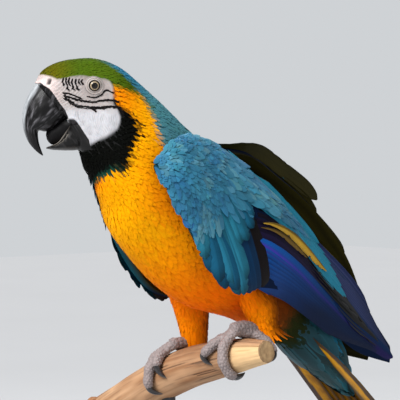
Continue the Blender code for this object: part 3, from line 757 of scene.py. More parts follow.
# ---- feathers --------------------------------------------------------------------------------------------
@dataclass
class Vanes:
    """Many feathers as arrays: n feathers, k stations along each, c columns across its upper face.

    A feather's cross-section is a thin lens: its upper face falls away from the shaft by camber times the
    square of the distance across, and its underside lies thick below, meeting it along both edges.
    """

    line: Array  # (n, k, 3) the shaft
    normal: Array  # (n, k, 3) outwards from the body
    half: Array  # (n, k) half width
    top: Array  # (n, k, c, 3) colours of the upper face
    under: Array  # (n, k, c, 3) colours of the underside
    place: Array  # (n, 2) the root's place on the unwrap
    camber: float | Array = 0.2
    thick: float = 0.22
    notch: Array | None = None  # (n, k, 2) how far each edge is drawn in, as a share of the half width

    def shape(self) -> Shape:
        """Builds all: line + across (half x) - normal (camber half x^2), and thick (1 - x^2) below it.

        Returns:
            One shape with colours, barb map and bake map.
        """
        n, k, c = self.top.shape[:3]
        m = 2 * c - 2
        x = np.linspace(-1, 1, c)
        along = unit(np.gradient(self.line, axis=1))
        across = unit(np.cross(along, self.normal))
        normal = np.cross(across, along)[:, :, None]
        half = self.half[..., None]
        camber = np.broadcast_to(np.asarray(self.camber, float).reshape(-1, 1, 1), (n, 1, 1))
        reach = half * x
        if self.notch is not None:
            pull = np.where(x < 0, self.notch[..., :1], self.notch[..., 1:])
            reach = reach * (1 - pull * np.abs(x) ** 3)
        upper = self.line[:, :, None] + across[:, :, None] * reach[..., None]
        upper = upper - normal * (camber * half * x**2)[..., None]
        lower = upper - normal * (self.thick * (1 - x**2))[:, None]
        ring = np.concatenate((upper, lower[:, :, c - 2:0:-1]), axis=2)
        column = np.concatenate((np.arange(c), np.arange(c - 2, 0, -1)))
        quads = grid_faces(k, m)
        caps = np.stack((np.arange(m)[::-1], np.arange(m) + (k - 1) * m))
        start = (np.arange(n) * k * m)[:, None, None]
        faces = [(quads + start).reshape(-1, 4), (caps + start).reshape(-1, m)]
        upward = np.tile(np.arange(m) < c - 1, k - 1)[:, None, None]
        row, col = quads // m, column[quads % m]
        sides = np.where(upward, self.top[:, row, col], self.under[:, row, col]).reshape(-1, 3)
        ends = self.top[:, caps // m, column[caps % m]].reshape(-1, 3)
        steps = np.cumsum(np.linalg.norm(np.diff(self.line, axis=1), axis=2), 1)
        run = np.concatenate((np.zeros((n, 1)), steps), 1)
        offset = (np.arange(n) * 0.618034 % 1.0 * 40.0)[:, None]
        barbs = np.stack((np.broadcast_to(half * x[column], (n, k, m)) / 10,
                          np.broadcast_to((run / 10 + offset)[..., None], (n, k, m))), -1)
        share = run / np.maximum(run[:, -1:], 1e-9) - 0.5
        patch = np.stack((np.broadcast_to(x[column] / 2, (n, k, m)),
                          np.broadcast_to(share[..., None], (n, k, m))), -1)
        shape = Shape(ring.reshape(-1, 3), faces, np.concatenate((sides, ends)))
        bake = self.place[:, None, None] + patch * BAKE_PATCH
        shape.maps = {"OFBake": shape.spread(bake.reshape(-1, 2)),
                      "vane": shape.spread(barbs.reshape(-1, 2))}
        return shape


def scatter(surface: Surface, spans: tuple[float, float, float, float],
            pitch: Callable[[Array, Array], Array], seed: int) -> tuple[Array, Array]:
    """Evenly spread places on a surface, pitch millimetres apart.

    A low-discrepancy sequence is sent through the running sums of (area / pitch squared), first along the
    surface and then across it.

    Args:
        surface: where they lie.
        spans: first and last a, first and last b.
        pitch: spacing by (a, b); infinite where nothing grows.
        seed: start of the sequence.

    Returns:
        The a and b of every place.
    """
    rows, columns = 260, 240
    a, b = np.linspace(*spans[:2], rows), np.linspace(*spans[2:], columns)
    grid_a, grid_b = net(a, b)
    area = np.linalg.norm(np.cross(*surface.slopes(grid_a, grid_b)), axis=-1)
    weight = area / pitch(grid_a, grid_b) ** 2 + 1e-9
    total = weight.sum() * (a[1] - a[0]) * (b[1] - b[0])
    n = np.arange(int(total)) + seed * 1000 + 1
    x, y = n * 0.7548776662466927 % 1.0, n * 0.5698402909980532 % 1.0
    running = np.cumsum(weight.sum(1))
    at = np.interp(x * running[-1], running, np.arange(rows))
    across = np.cumsum(weight, axis=1)[np.round(at).astype(int)]
    found = (across < (y * across[:, -1])[:, None]).sum(1)
    before = np.where(found > 0, np.take_along_axis(across, np.maximum(found - 1, 0)[:, None], 1)[:, 0], 0.0)
    step = np.take_along_axis(across, np.minimum(found, columns - 1)[:, None], 1)[:, 0] - before
    place = found + (y * across[:, -1] - before) / np.maximum(step, 1e-12) - 0.5
    return np.interp(at, np.arange(rows), a), np.interp(place, np.arange(columns), b)


@dataclass
class Tufts:
    """Contour feathers of one surface: each starts in the skin and rises to the coat's outline."""

    surface: Surface
    a: Array
    b: Array
    length: Array
    half: Array
    depth: Array
    tint: Array
    seed: int
    sway: float = 9.0  # degrees that a feather may turn from the coat's lie
    drift: float | Array = 0.0  # degrees that the lie turns towards growing b
    stand: float = 0.12  # how far tips may stand out, as a share of the coat's depth
    camber: float = 0.14
    stations: tuple[float, ...] = (0.0, 0.3, 0.6, 0.85, 1.0)
    widths: tuple[float, ...] = (0.5, 0.9, 1.0, 0.8, 0.3)
    shade: float = 0.06
    root_shade: float = 0.10  # painted shade: how much darker a feather is at its root, under the feathers that overlie it

    def shape(self) -> Shape:
        """Lays each feather along the surface, from the skin's depth up to the outline at its tip.

        Returns:
            The tufts as one shape.
        """
        rng = np.random.default_rng(self.seed)
        n = len(self.a)
        x = np.array(self.stations)
        length = self.length * rng.uniform(0.85, 1.15, n)
        angle = np.radians(rng.normal(0, self.sway / 2, n) + self.drift)
        along, around = self.surface.slopes(self.a, self.b)
        step_a = np.cos(angle) * length / np.linalg.norm(along, axis=-1)
        step_b = np.sin(angle) * length / np.maximum(np.linalg.norm(around, axis=-1), 4.0)
        girth = np.maximum(np.linalg.norm(around, axis=-1), 4.0)
        bend = (rng.normal(0, 0.09, n) * length / girth)[:, None] * x**2
        a = self.a[:, None] + step_a[:, None] * x
        b = self.b[:, None] + step_b[:, None] * x + bend
        tip = rng.uniform(-0.12, self.stand, n)
        height = self.depth[:, None] * (-((1 - x) ** 1.4) + tip[:, None] * x**2)
        line, normal = self.surface.spot(a, b, height)
        half = (self.half * rng.uniform(0.85, 1.15, n))[:, None] * np.array(self.widths)
        light = rng.normal(1.0, self.shade, n)[:, None] * (1.04 - self.root_shade * (1 - x))
        hue = rng.normal(0, 0.03, (n, 1, 3))
        colour = self.tint[:, None] * (light[..., None] + hue)
        top = np.repeat(colour[:, :, None], 3, axis=2)
        top[:, :, 1] *= 0.94
        place = self.surface.unwrap(self.a, self.b)
        # The undersides are the tops darkened, as painted shade.
        return Vanes(line, normal, half, top, top * 0.85, place, self.camber, 0.15).shape()


# ---- head ------------------------------------------------------------------------------------------------
class FaceMap:
    """Finds the place of the outline that shows at a head-frame point seen from the side."""

    def __init__(self, body: Body) -> None:
        """Samples the outline of the head's left side, to look places up in."""
        self.body = body
        a, b = net(np.linspace(-0.4, 7.0, 75), np.radians(np.linspace(12, 168, 60)))
        self.a, self.b = a.ravel(), b.ravel()
        self.seen = np.stack(body.frame.to_head(body.point(self.a, self.b))[:2], -1)

    def __call__(self, forward: Array, up: Array) -> tuple[Array, Array]:
        """Finds places by the nearest of a net of them and then by Newton's method.

        Args:
            forward, up: head-frame places.

        Returns:
            Section and turn on the left side.
        """
        goal = np.stack((forward, up), -1)
        flat = goal.reshape(-1, 2)
        nearest = np.concatenate([((part[:, None] - self.seen) ** 2).sum(-1).argmin(1)
                                  for part in np.array_split(flat, max(1, len(flat) // 2000))])
        a, b = self.a[nearest], self.b[nearest]
        for _ in range(6):
            f, u, _ = self.body.frame.to_head(self.body.point(a, b))
            along, around = self.body.slopes(a, b)
            af, au = along @ self.body.frame.ahead, along @ UP
            bf, bu = around @ self.body.frame.ahead, around @ UP
            det = af * bu - au * bf
            det = np.where(np.abs(det) < 1e-3, 1e-3, det)
            df, du = flat[:, 0] - f, flat[:, 1] - u
            a = a + np.clip((df * bu - du * bf) / det, -0.3, 0.3)
            b = b + np.clip((du * af - df * au) / det, -0.1, 0.1)
        return a.reshape(goal.shape[:-1]), b.reshape(goal.shape[:-1])


UPPER_BASE = ((-1, 0), (0.0, 8), (0.12, 21), (0.5, 33), (0.6, 43), (0.9, 55), (1.03, 66), (1.18, 80),
              (1.5, 90), (1.55, 96), (1.5, 101), (-1, 101))
LOWER_BASE = ((-1, 101), (1.5, 101), (2.3, 101), (2.6, 103), (2.95, 108), (3.35, 113), (3.72, 117),
              (3.8, 121), (3.6, 127), (2.9, 133), (2.0, 142), (1.0, 152), (-1, 160))


@dataclass
class Skin:
    """The one skin over head, neck, trunk, thighs and tail root, with nostrils and face folds."""

    body: Body
    markings: Markings
    head_rows: int = 215
    body_rows: int = 64
    columns: int = 312
    cere: tuple[float, float] = (43.5, 2.2)
    nostril: tuple[float, float] = (38.9, 3.4)
    eye_hollow: float = 7.6

    def face_colour(self, f: Array, u: Array, place: Array) -> Array:
        """Chalky white, pinker on the cere and in front of the eye, a little bluer over the cheek, with
        painted shade round the eye and under the crown's edge.

        Args:
            f, u: head-frame places.
            place: bird-frame places.

        Returns:
            One colour for each place.
        """
        chalk, pink, cheek = srgb(172, 163, 160), srgb(206, 182, 178), srgb(196, 195, 199)
        colour = mixed(chalk, cheek, smooth(-16, -26, u))
        colour = mixed(colour, pink, smooth(26, 38, f) * 0.6)
        pale = np.exp(-((f - 42) / 7) ** 2 - ((u - 1.5) / 5) ** 2)
        colour = mixed(colour, srgb(232, 216, 212), pale * 0.8)
        # Painted shade round the eye's hollow.
        colour = mixed(colour, srgb(132, 120, 116), np.exp(-(np.hypot(f, u) / 12.5) ** 4) * 0.75)
        # Painted shade on the brow, under the crown feathers' edge.
        colour = mixed(colour, srgb(128, 116, 112), smooth(3, 9, u) * smooth(34, 26, f) * 0.7)
        blotch = noise(place, 2.6, 3) * 0.09 + noise(place, 0.9, 4) * 0.07
        return np.clip(colour * (1 + blotch)[..., None], 0, 1)

    def folds(self, f: Array, u: Array, place: Array) -> Array:
        """Fine folds: sines across the creases of the cheek and of the lores, whose phase wanders.

        Args:
            f, u: head-frame places.
            place: bird-frame places.

        Returns:
            The folds' height.
        """
        wander = noise(place, 6.0, 5) * 1.6 + noise(place, 2.5, 8) * 0.5
        cheek = np.sin((f + 0.02 * (u + 30) ** 2 - 0.25 * (u + 30) + wander) * 2 * math.pi / 1.75)
        cheek *= smooth(-20, -27, u) * smooth(-24, -18, f) * smooth(22, 14, f)
        lores = np.sin((u * 0.8 + f * 0.62 + wander) * 2 * math.pi / 2.6)
        lores = lores * smooth(-22, -14, u) * smooth(6, 14, f)
        return cheek * 0.12 + lores * 0.24

    def make(self, thighs: Sequence["Thigh"]) -> bpy.types.Object:
        """Builds the skin: body and thighs joined by a Boolean union.

        Args:
            thighs: the two that join the body.

        Returns:
            The skin's object.
        """
        rows = np.concatenate(((0.35, 0.15, 0.0), 0.03 + 5.97 * np.linspace(0, 1, self.head_rows) ** 1.15,
                               np.linspace(6.0, Body.LAST - 0.4, self.body_rows)[1:]))
        inset = np.concatenate(((8.0, 3.0, 0.5), np.zeros(len(rows) - 3)))
        even = np.linspace(-math.pi, math.pi, self.columns, endpoint=False)
        turn = even - 0.06 * np.sin(4 * even)
        a, b = net(rows, turn)
        outline = self.body.point(a, b)
        f, u, side = self.body.frame.to_head(outline)
        face = self.markings.face(a, b)
        bare = smooth(1.0, -1.5, face) * smooth(6.5, 5.5, a)
        horn = np.minimum(*(self.markings.from_outline(a, b, base) for base in (UPPER_BASE, LOWER_BASE)))
        relief = self.folds(f, u, outline) * bare + noise(outline, 3.0, 6) * 0.15 * bare
        near = smooth(8.0, 4.0, a)
        relief += 1.1 * near * np.exp(-((f - self.cere[0]) / 7) ** 2 - ((u - self.cere[1]) / 5) ** 2)
        rise = u - self.nostril[1]
        pit = np.exp(-((f - self.nostril[0] + 0.35 * rise) / 1.4) ** 4 - (rise / 2.4) ** 4)
        pit = near * pit * (np.abs(side) > 3)
        relief -= 2.8 * pit
        radius = np.hypot(f, u)
        relief -= 2.6 * smooth(self.eye_hollow, self.eye_hollow - 1.6, radius) * near
        relief += 0.8 * smooth(3.0, 0.2, np.abs(horn)) * bare
        relief -= 2.2 * smooth(0.6, -1.0, horn)
        depth = self.markings.coat_depth(a, b) + inset[:, None]
        points, _ = self.body.spot(a, b, relief - depth)
        # The skin under the coat is the plumage's colour darkened, as painted shade in the gaps between
        # feathers.
        tint = mixed(self.markings.plumage(a, b) * 0.8, self.face_colour(f, u, outline), bare)
        # Painted shade in the folds of the bare face.
        crease_shade = 1 - 0.26 * smooth(0.02, -0.2, relief) * bare
        # Dark grey where the horn covers the skin, and painted shade in the nostril pits and on the rows drawn
        # into the bill.
        dark = np.maximum(np.maximum(smooth(0.4, -1.2, horn), pit), (inset > 1)[:, None])
        tint = mixed(tint * crease_shade[..., None], srgb(38, 34, 36), dark)
        maps = {"OFBake": self.body.unwrap(a, b)}
        made = tube(points, tint, maps).mesh("skin", self.body.frame)
        for thigh in thighs:
            tool = thigh.skin().mesh("tool", self.body.frame)
            union = made.modifiers.new("thigh", "BOOLEAN")
            union.operation, union.object, union.solver = "UNION", tool, "EXACT"
            bake_modifiers(made)
            bpy.data.objects.remove(tool, do_unlink=True)
        if len(made.data.polygons) < self.columns * self.head_rows:
            raise RuntimeError("the thighs' union lost the body's skin")
        SKIN.dress(made)
        return made


def bake_modifiers(obj: bpy.types.Object) -> None:
    """Puts the shape that the modifiers give into the object's own mesh.

    Args:
        obj: the object, left without modifiers.
    """
    graph = bpy.context.evaluated_depsgraph_get()
    shown = obj.evaluated_get(graph)
    result = bpy.data.meshes.new_from_object(shown, preserve_all_data_layers=True, depsgraph=graph)
    obj.modifiers.clear()
    obj.data = result


@dataclass
class Eye:
    """One eye: iris and pupil in the ball's clear-coated, bulging front, and the lids' ring."""

    body: Body
    face_map: FaceMap
    side: Side
    pupil: float = 2.75
    iris: float = 3.9
    opening: float = 4.75

    def placed(self, radius: Array, depth: Array, around: int) -> Array:
        """Revolves a profile about the eye's axis.

        Args:
            radius, depth: the profile, by distance from the axis and from the head's mid-plane.
            around: places in a ring.

        Returns:
            (rows, around, 3) rings.
        """
        angle = full_turn(around)
        f, u = radius[:, None] * np.cos(angle), radius[:, None] * np.sin(angle)
        return self.body.frame.from_head(f, u, self.side.value * np.broadcast_to(depth[:, None], f.shape))

    def ball(self) -> bpy.types.Object:
        """The eyeball: iris and pupil lie in its clear-coated front, which bulges as the cornea does.

        Returns:
            Its object.
        """
        front = np.array((0.02, 0.8, 1.6, 2.3, 2.65, 2.73, 2.85, 3.0, 3.2, 3.4, 3.6, 3.75, 3.95, 4.3))
        bend = np.radians(np.linspace(37, 165, 24))
        size = EYE_RADIUS - 0.15
        radius = np.concatenate((front, size * np.sin(bend)))
        dome = np.sqrt(size**2 - front**2) + 0.35 * smooth(4.4, 2.0, front)
        depth = EYE_DEPTH + np.concatenate((dome, size * np.cos(bend)))
        around = 96
        spoke = np.stack(np.broadcast_arrays(np.arange(float(around)) * 1.7, radius[:, None] * 0.5, 0.0), -1)
        cream, rim, black = srgb(176, 156, 124), srgb(26, 19, 15), srgb(12, 8, 6)
        colour = mixed(cream * 0.5, cream, smooth(self.pupil, 3.1, radius))
        colour = mixed(colour, rim, smooth(self.iris - 0.35, self.iris, radius))
        colour = mixed(black, colour, smooth(self.pupil - 0.08, self.pupil + 0.1, radius))
        tint = np.repeat(colour[:, None], around, axis=1) * (1 + 0.12 * noise(spoke, 1.0, 9))[..., None]
        shape = tube(self.placed(radius, depth, around), tint)
        return shape.piece(f"eye_{self.side.word}_ball", self.body.frame, EYEBALL, 80)

    def lids(self) -> bpy.types.Object:
        """The lids' ring: a dark rim against the ball, a pale swollen ring, painted shade in the skin's folds,
        then under the skin.

        Returns:
            Its object.
        """
        radius = np.array((4.3, 4.5, 4.65, 4.85, 5.1, 5.4, 5.7, 5.95, 6.2, 6.45, 6.8, 7.2, 7.6, 8.0, 8.3,
                           8.6, 9.0))
        ball = np.array((26.0, 26.5, 26.95, 27.2, 27.3, 27.25, 27.0, 26.65, 26.5))
        over = np.array((0.8, 0.85, 0.9, 0.6, 0.15, -0.2, 0.2, 0.1, -2.0))
        angle = full_turn(112)
        r = radius[:, None] * (1 + 0.03 * np.sin(2 * angle + 0.6))
        f, u = r * np.cos(angle), r * np.sin(angle)
        a, b = self.face_map(f, u)
        surface = self.body.frame.to_head(self.body.point(a, b))[2]
        share = smooth(5.6, 7.4, radius)[:, None]
        near = np.concatenate((ball, np.full(8, 26.4)))[:, None]
        far = surface + np.concatenate((np.full(8, 0.8), over))[:, None]
        depth = near * (1 - share) + far * share
        place = self.body.frame.from_head(f, u, depth)
        rough = noise(place, 1.3, 11) * 0.10 + noise(place, 0.6, 12) * 0.05
        depth = depth + rough * smooth(4.6, 5.2, radius)[:, None]
        points = self.body.frame.from_head(f, u, self.side.value * depth)
        # fold is the colour of the painted shade in the skin's folds.
        rim, ring, fold = srgb(44, 36, 34), srgb(178, 168, 162), srgb(84, 74, 72)
        tint = mixed(rim * 0.7, ring, smooth(4.85, 5.45, radius))
        # Painted shade: a dark arc in the outer fold below and behind the eye.
        lower = smooth(0.25, -0.3, np.sin(angle)) + smooth(0.3, -0.6, np.cos(angle)) * 0.7
        crease_shade = np.exp(-((radius - 8.15) / 0.33) ** 2)[:, None] * np.clip(lower, 0, 1)
        tint = mixed(tint, srgb(168, 159, 156), smooth(6.8, 8.0, radius))[:, None]
        tint = mixed(tint, fold * 0.5, crease_shade)
        # Painted shade: a dark ring in the fold at 6.4 mm.
        tint = mixed(tint, fold, (np.exp(-((radius - 6.4) / 0.4) ** 2) * 0.75)[:, None])
        tint = tint * (1 + 0.06 * noise(place, 0.8, 13))[..., None]
        maps = {"OFBake": self.body.unwrap(a, b * self.side.value)}
        return tube(points, tint, maps).piece(f"eye_{self.side.word}_lids", self.body.frame, SKIN)


@dataclass
class Bill:
    """Upper and lower bill, whose horn spreads over the face, and the tongue between them."""

    BASE_ROWS = ((1.16, -2.2), (1.04, -0.4), (0.97, 0.35), (0.8, 0.5), (0.6, 0.5), (0.4, 0.45), (0.2, 0.35))
    body: Body
    upper: tuple = (
        (49.7, 2.6, 24.0, -29.6, 16.8), (55.8, -6.4, 29.5, -34.2, 16.2), (60.2, -17.0, 35.5, -38.8, 14.8),
        (61.9, -28.0, 42.0, -40.0, 12.3), (60.6, -38.5, 47.8, -39.5, 9.3), (56.6, -49.0, 47.8, -47.2, 6.3),
        (50.2, -57.0, 45.8, -54.8, 3.5), (44.4, -61.3, 43.5, -60.9, 0.7))
    lower: tuple = (
        (22.8, -31.4, 4.2, -54.8, 19.2), (24.2, -37.0, 12.5, -56.3, 18.6), (27.0, -43.3, 20.5, -56.8, 16.9),
        (30.5, -48.8, 28.5, -56.6, 14.3), (34.8, -51.6, 35.0, -56.2, 11.8), (39.8, -53.6, 40.2, -55.3, 8.0),
        (40.4, -53.9, 40.6, -54.9, 5.0))
    tongue: tuple = (
        (22.0, -26.5, 15.0, -42.0, 15.0), (27.0, -28.6, 20.0, -43.0, 13.5), (32.0, -31.5, 24.0, -48.0, 10.5),
        (38.5, -35.5, 30.0, -50.5, 9.5), (41.0, -41.5, 35.5, -51.5, 7.5), (40.5, -46.0, 37.5, -50.5, 4.5),
        (39.8, -47.6, 38.6, -49.4, 1.5))

    def rings(self, rows: tuple, count: int, around: int, roof: float) -> tuple[Array, Array, Array]:
        """Oval rings between two profile lines.

        Args:
            rows: (forward, up) of the first line and of the second, and half width.
            count, around: rings, and places in each.
            roof: share of the height at which they are widest.

        Returns:
            Ring points, row numbers, and angles from the first line.
        """
        at = np.linspace(0, len(rows) - 1, count)
        row = Table(rows)(at)
        top, bottom = (self.body.frame.from_head(row[:, i], row[:, i + 1]) for i in (0, 2))
        height = np.linalg.norm(top - bottom, axis=1)
        upward = unit(top - bottom)
        angle = full_turn(around)
        c, s = np.cos(angle), np.sin(angle)
        reach = height[:, None] * np.where(c > 0, 1 - roof, roof) * c
        centre = bottom + upward * (height * roof)[:, None]
        side = row[:, 4:5] * np.sign(s) * np.abs(s) ** 0.92
        sideways = self.body.frame.left * side[..., None]
        points = centre[:, None] + upward[:, None] * reach[..., None] + sideways
        return points, at, angle

    def base(self, first: Array, angle: Array, reach: Array, turn: Array, outer: Array) -> Array:
        """Rows of horn behind the first ring.

        Args:
            first: the first ring.
            angle: its places' angles.
            reach, turn: section and turn from the back of the horn's edge on the face, at each angle.
            outer: 1 where the horn runs over the face, 0 where it runs straight back into it.

        Returns:
            The rows, from the hindmost on.
        """
        rows = []
        for share, lift in self.BASE_ROWS:
            over, _ = self.body.spot(reach * share, np.sign(np.sin(angle) + 1e-9) * turn,
                                     np.full_like(turn, lift))
            inside = first - self.body.frame.ahead * (7.0 * share)
            rows.append(mixed(inside, over, outer))
        return np.stack(rows)

    @staticmethod
    def eased(points: Array, first: int, last: int, passes: int) -> Array:
        """Draws rows towards the mean of their neighbours, so the base flows into the horn.

        Args:
            points: (rows, around, 3) rings.
            first, last: rows to ease, last not included.
            passes: how often.

        Returns:
            The same array.
        """
        for _ in range(passes):
            middle = points[first:last]
            points[first:last] = middle / 2 + (points[first - 1:last - 1] + points[first + 1:last + 1]) / 4
        return points

    def make_upper(self) -> bpy.types.Object:
        """The hooked upper bill: a pale band along its ridge as painted highlight, growth lines round its
        sides.

        Returns:
            Its object.
        """
        points, at, angle = self.rings(self.upper, 110, 150, 0.34)
        fold = np.abs((angle + math.pi) % (2 * math.pi) - math.pi)
        turn = np.arccos(np.clip(1 - 0.735 * (1 - np.cos(fold)), -1, 1))
        reach = curve((0.0, 0.05, 0.12, 0.45, 0.6, 0.85, 1.03, 1.15, 1.45, 1.5), np.degrees(turn) / 11)
        base = self.base(points[0], angle, reach, turn, smooth(1.95, 1.7, fold))
        points = np.concatenate((base, points))
        at = np.concatenate((np.linspace(-1.4, -0.2, len(base)), at))[:, None]
        fold = np.broadcast_to(fold, points.shape[:2])
        grow = at + 0.18 * noise(points, 9.0, 21) + 0.35 * np.cos(fold * 1.5)
        lines = noise(np.stack((grow * 1.1, fold * 6.5, 0 * grow), -1), 1.0, 22)
        fine = noise(np.stack((grow * 1.3, fold * 24, 0 * grow), -1), 1.0, 23)
        relief = (0.16 * lines + 0.06 * fine)[..., None] * smooth(6.9, 6.0, at)[..., None]
        points = points + unit(points - points.mean(1, keepdims=True)) * relief
        # Painted highlight: a pale band along the ridge, fading towards the tip.
        edge = smooth(0.62, 0.44, fold + 0.06 * lines) * smooth(5.6, 2.6, at + 0.3 * fine)
        scratch = np.zeros_like(fold)
        for place in (0.6, 0.74, 0.9, 1.05, 1.2, 1.38, 1.6):
            near = np.exp(-((fold - place - 0.14 * np.sin(at * 1.1 + place * 5)) / 0.028) ** 2)
            breaks = noise(np.stack((at * 0.9 + place * 9, 0 * at + place, 0 * at), -1), 1.0, 25)
            scratch = scratch + near * smooth(-0.2, 0.7, breaks)
        scratch = scratch * smooth(0.1, 0.8, at) * smooth(4.6, 3.0, at)
        # pale is the painted highlight's colour; worn is the colour of growth lines and scratches.
        dark, pale, worn = srgb(11, 10, 11), srgb(190, 194, 198), srgb(112, 110, 114)
        wear = smooth(0.35, 0.8, lines) * 0.25 + smooth(0.3, 0.8, fine) * 0.3 + scratch * 0.95
        tint = mixed(dark, worn, np.clip(wear, 0, 1) * smooth(6, 3, at))
        tint = mixed(tint, pale, edge * (0.75 + 0.25 * fine))
        tint = tint * (1 + 0.15 * noise(points, 2.5, 24))[..., None]
        return tube(points, tint).piece("bill_upper_horn", self.body.frame, HORN, 50)

    def make_lower(self) -> bpy.types.Object:
        """The scooped lower bill: black, with a worn pale cutting edge and a soft shine on its side.

        Returns:
            Its object.
        """
        points, at, angle = self.rings(self.lower, 60, 72, 0.60)
        fold = np.abs((angle + math.pi) % (2 * math.pi) - math.pi)
        down = np.where(np.cos(fold) > 0, 12 * (1 - np.cos(fold)), 12 - 18 * np.cos(fold))
        turn = np.arccos(np.clip(1 - (43.4 + down) / 37, -0.999, 1))
        reach = curve((2.0, 2.8, 3.6, 3.78, 3.0, 2.0, 0.9, 0.2, 0.1), (np.degrees(turn) - 98) / 9)
        base = self.base(points[0], angle, reach, turn, smooth(0.5, 0.9, fold))
        points = self.eased(np.concatenate((base, points)), 4, 22, 30)
        at = np.concatenate((np.linspace(-2.0, -0.2, len(base)), at))[:, None]
        fold = np.broadcast_to(fold, points.shape[:2])
        fine = noise(np.stack((at * 5 + fold, fold * 2, 0 * fold + 5), -1), 1.0, 31)
        relief = (0.12 * fine)[..., None] * smooth(-2.0, -1.0, at)[..., None]
        points = points + unit(points - points.mean(1, keepdims=True)) * relief
        dark, pale = srgb(16, 15, 15), srgb(166, 158, 148)
        tint = mixed(dark, srgb(80, 78, 78), smooth(0.3, 0.9, fine) * 0.3)
        lip = np.exp(-((fold - 0.55) / 0.16) ** 2) * smooth(0.0, 0.5, at)
        second = np.exp(-((fold - 1.15 + 0.1 * fine) / 0.06) ** 2)
        second = second * smooth(0.8, 1.4, at) * smooth(4.2, 3.4, at)
        tint = mixed(tint, pale, np.clip(lip * 0.75 + second * 0.5, 0, 1))
        return tube(points, tint).piece("bill_lower_horn", self.body.frame, HORN, 50)

    def make_tongue(self) -> bpy.types.Object:
        """The thick dark tongue, grained across."""
        points = self.rings(self.tongue, 30, 32, 0.5)[0]
        return tube(points + UP * (0.25 * noise(points, 1.6, 41))[..., None]).piece(
            "tongue_flesh", self.body.frame, TONGUE)


@dataclass
class FaceStrokes:
    """The tiny black feathers of the bare face, set in lines given as head-frame points."""

    body: Body
    face_map: FaceMap
    side: Side
    lines: tuple = (  # (half width of the line in mm, points)
        (1.2, ((27.1, -9.7), (21.8, -13.6), (16.4, -17.0), (12.9, -18.3), (2.2, -19.3), (-4.9, -19.3),
               (-13.8, -18.5), (-19.1, -18.6), (-22.2, -21.0), (-24.0, -24.5))),
        (0.35, ((3.6, -19.6), (-0.4, -21.9))),
        (0.6, ((27.1, -8.3), (20.0, -10.6), (14.7, -12.3), (2.2, -14.3), (-5.8, -12.8), (-13.8, -12.6),
               (-20.0, -14.0))),
        (0.45, ((28.0, -6.1), (21.8, -7.2), (17.3, -8.8), (12.9, -10.6))),
        (0.22, ((7.0, -9.3), (3.5, -10.1), (-1.4, -9.9), (-5.5, -8.0), (-8.2, -5.2))),
        (0.4, ((-6.9, -6.3), (-10.2, -4.3), (-15.6, -5.9))),
    ) + tuple(
        (0.4, ((f - 0.4, u + 0.5 * size), (f + 0.4, u), (f - 0.2, u - 0.5 * size)))
        for u, size, row in ((4.4, 6.0, (27.0, 24.3, 21.8)), (3.4, 6.0, (19.1, 16.0)),
                             (4.2, 3.6, (13.2, 10.6)), (-1.6, 2.2, (23.0, 18.0, 14.6)))
        for f in row)
    spacing: float = 0.17
    length: float = 2.5

    def make(self) -> bpy.types.Object:
        """Lays feathers along every line, each turned a little to and fro and lying on the skin.

        Returns:
            One object.
        """
        rng = np.random.default_rng(50 + self.side.value)
        parts = []
        for half, points in self.lines:
            path = np.array(points)
            run = np.concatenate(([0], np.cumsum(np.linalg.norm(np.diff(path, axis=0), axis=1))))
            number = np.linspace(0, run[-1], max(4, int(run[-1] / self.spacing)))
            place = Table(path)(np.interp(number, run, np.arange(len(path))))
            way = unit(np.gradient(place, axis=0))
            aside = np.stack((-way[:, 1], way[:, 0]), -1)
            place = place + aside * rng.uniform(-half, half, len(place))[:, None]
            parts.append(np.hstack((place, way)))
        forward, up, way_f, way_u = np.concatenate(parts).T
        n = len(forward)
        angle = rng.normal(0, 0.16, n)
        c, s = np.cos(angle), np.sin(angle)
        way = np.stack((way_f * c - way_u * s, way_f * s + way_u * c), -1)
        x = np.array((0.0, 0.35, 0.7, 1.0))
        reach = self.length * rng.uniform(0.6, 1.15, n)
        plane = np.stack((forward, up), -1)[:, None] + way[:, None] * (reach[:, None] * x)[..., None]
        a, b = self.face_map(plane[..., 0], plane[..., 1])
        b = b * self.side.value
        line, normal = self.body.spot(a, b, 0.25 + 0.35 * x + 0 * a)
        half = rng.uniform(0.22, 0.38, n)[:, None] * np.array((0.6, 1.0, 0.8, 0.15))
        tint = np.broadcast_to(srgb(24, 22, 22), (n, 4, 3, 3)) * rng.uniform(0.6, 1.4, (n, 1, 1, 1))
        vanes = Vanes(line, normal, half, tint, tint, self.body.unwrap(a[:, 0], b[:, 0]), 0.5, 0.25)
        return vanes.shape().piece(f"face_feathers_{self.side.word}", self.body.frame, CONTOUR)


# ---- coat ------------------------------------------------------------------------------------------------
class Limb(Surface):
    """A round limb along rows of (x, y, z, radius): a is the row number, b the turn about its axis."""

    def __init__(self, rows: Sequence[Sequence[float]]) -> None:
        """Keeps rows of (x, y, z, radius) along the limb."""
        self.table = Table(rows)
        self.last = float(len(rows) - 1)

    def point(self, a: Array, b: Array, lift: Array | float = 0.0) -> Array:
        """Places on the limb: its middle line + (radius + lift) (cos(b) first + sin(b) second).

        Args:
            a: row numbers.
            b: turns about the axis.
            lift: growth outwards.

        Returns:
            The places.
        """
        row = self.table(a)
        along = unit(self.table(a + 0.01)[..., :3] - self.table(a - 0.01)[..., :3])
        first = unit(np.cross(along, (1.0, 0.0, 0.0)))
        second = np.cross(along, first)
        reach = (row[..., 3] + lift)[..., None]
        return row[..., :3] + reach * (np.cos(b)[..., None] * first + np.sin(b)[..., None] * second)

    def unwrap(self, a: Array, b: Array) -> Array:
        """Places on the limb's own flat unwrap."""
        return np.stack((0.02 + 0.96 * ((b / (2 * math.pi) + 0.5) % 1.0),
                         0.02 + 0.9 * a / (self.last + 0.5)), -1)


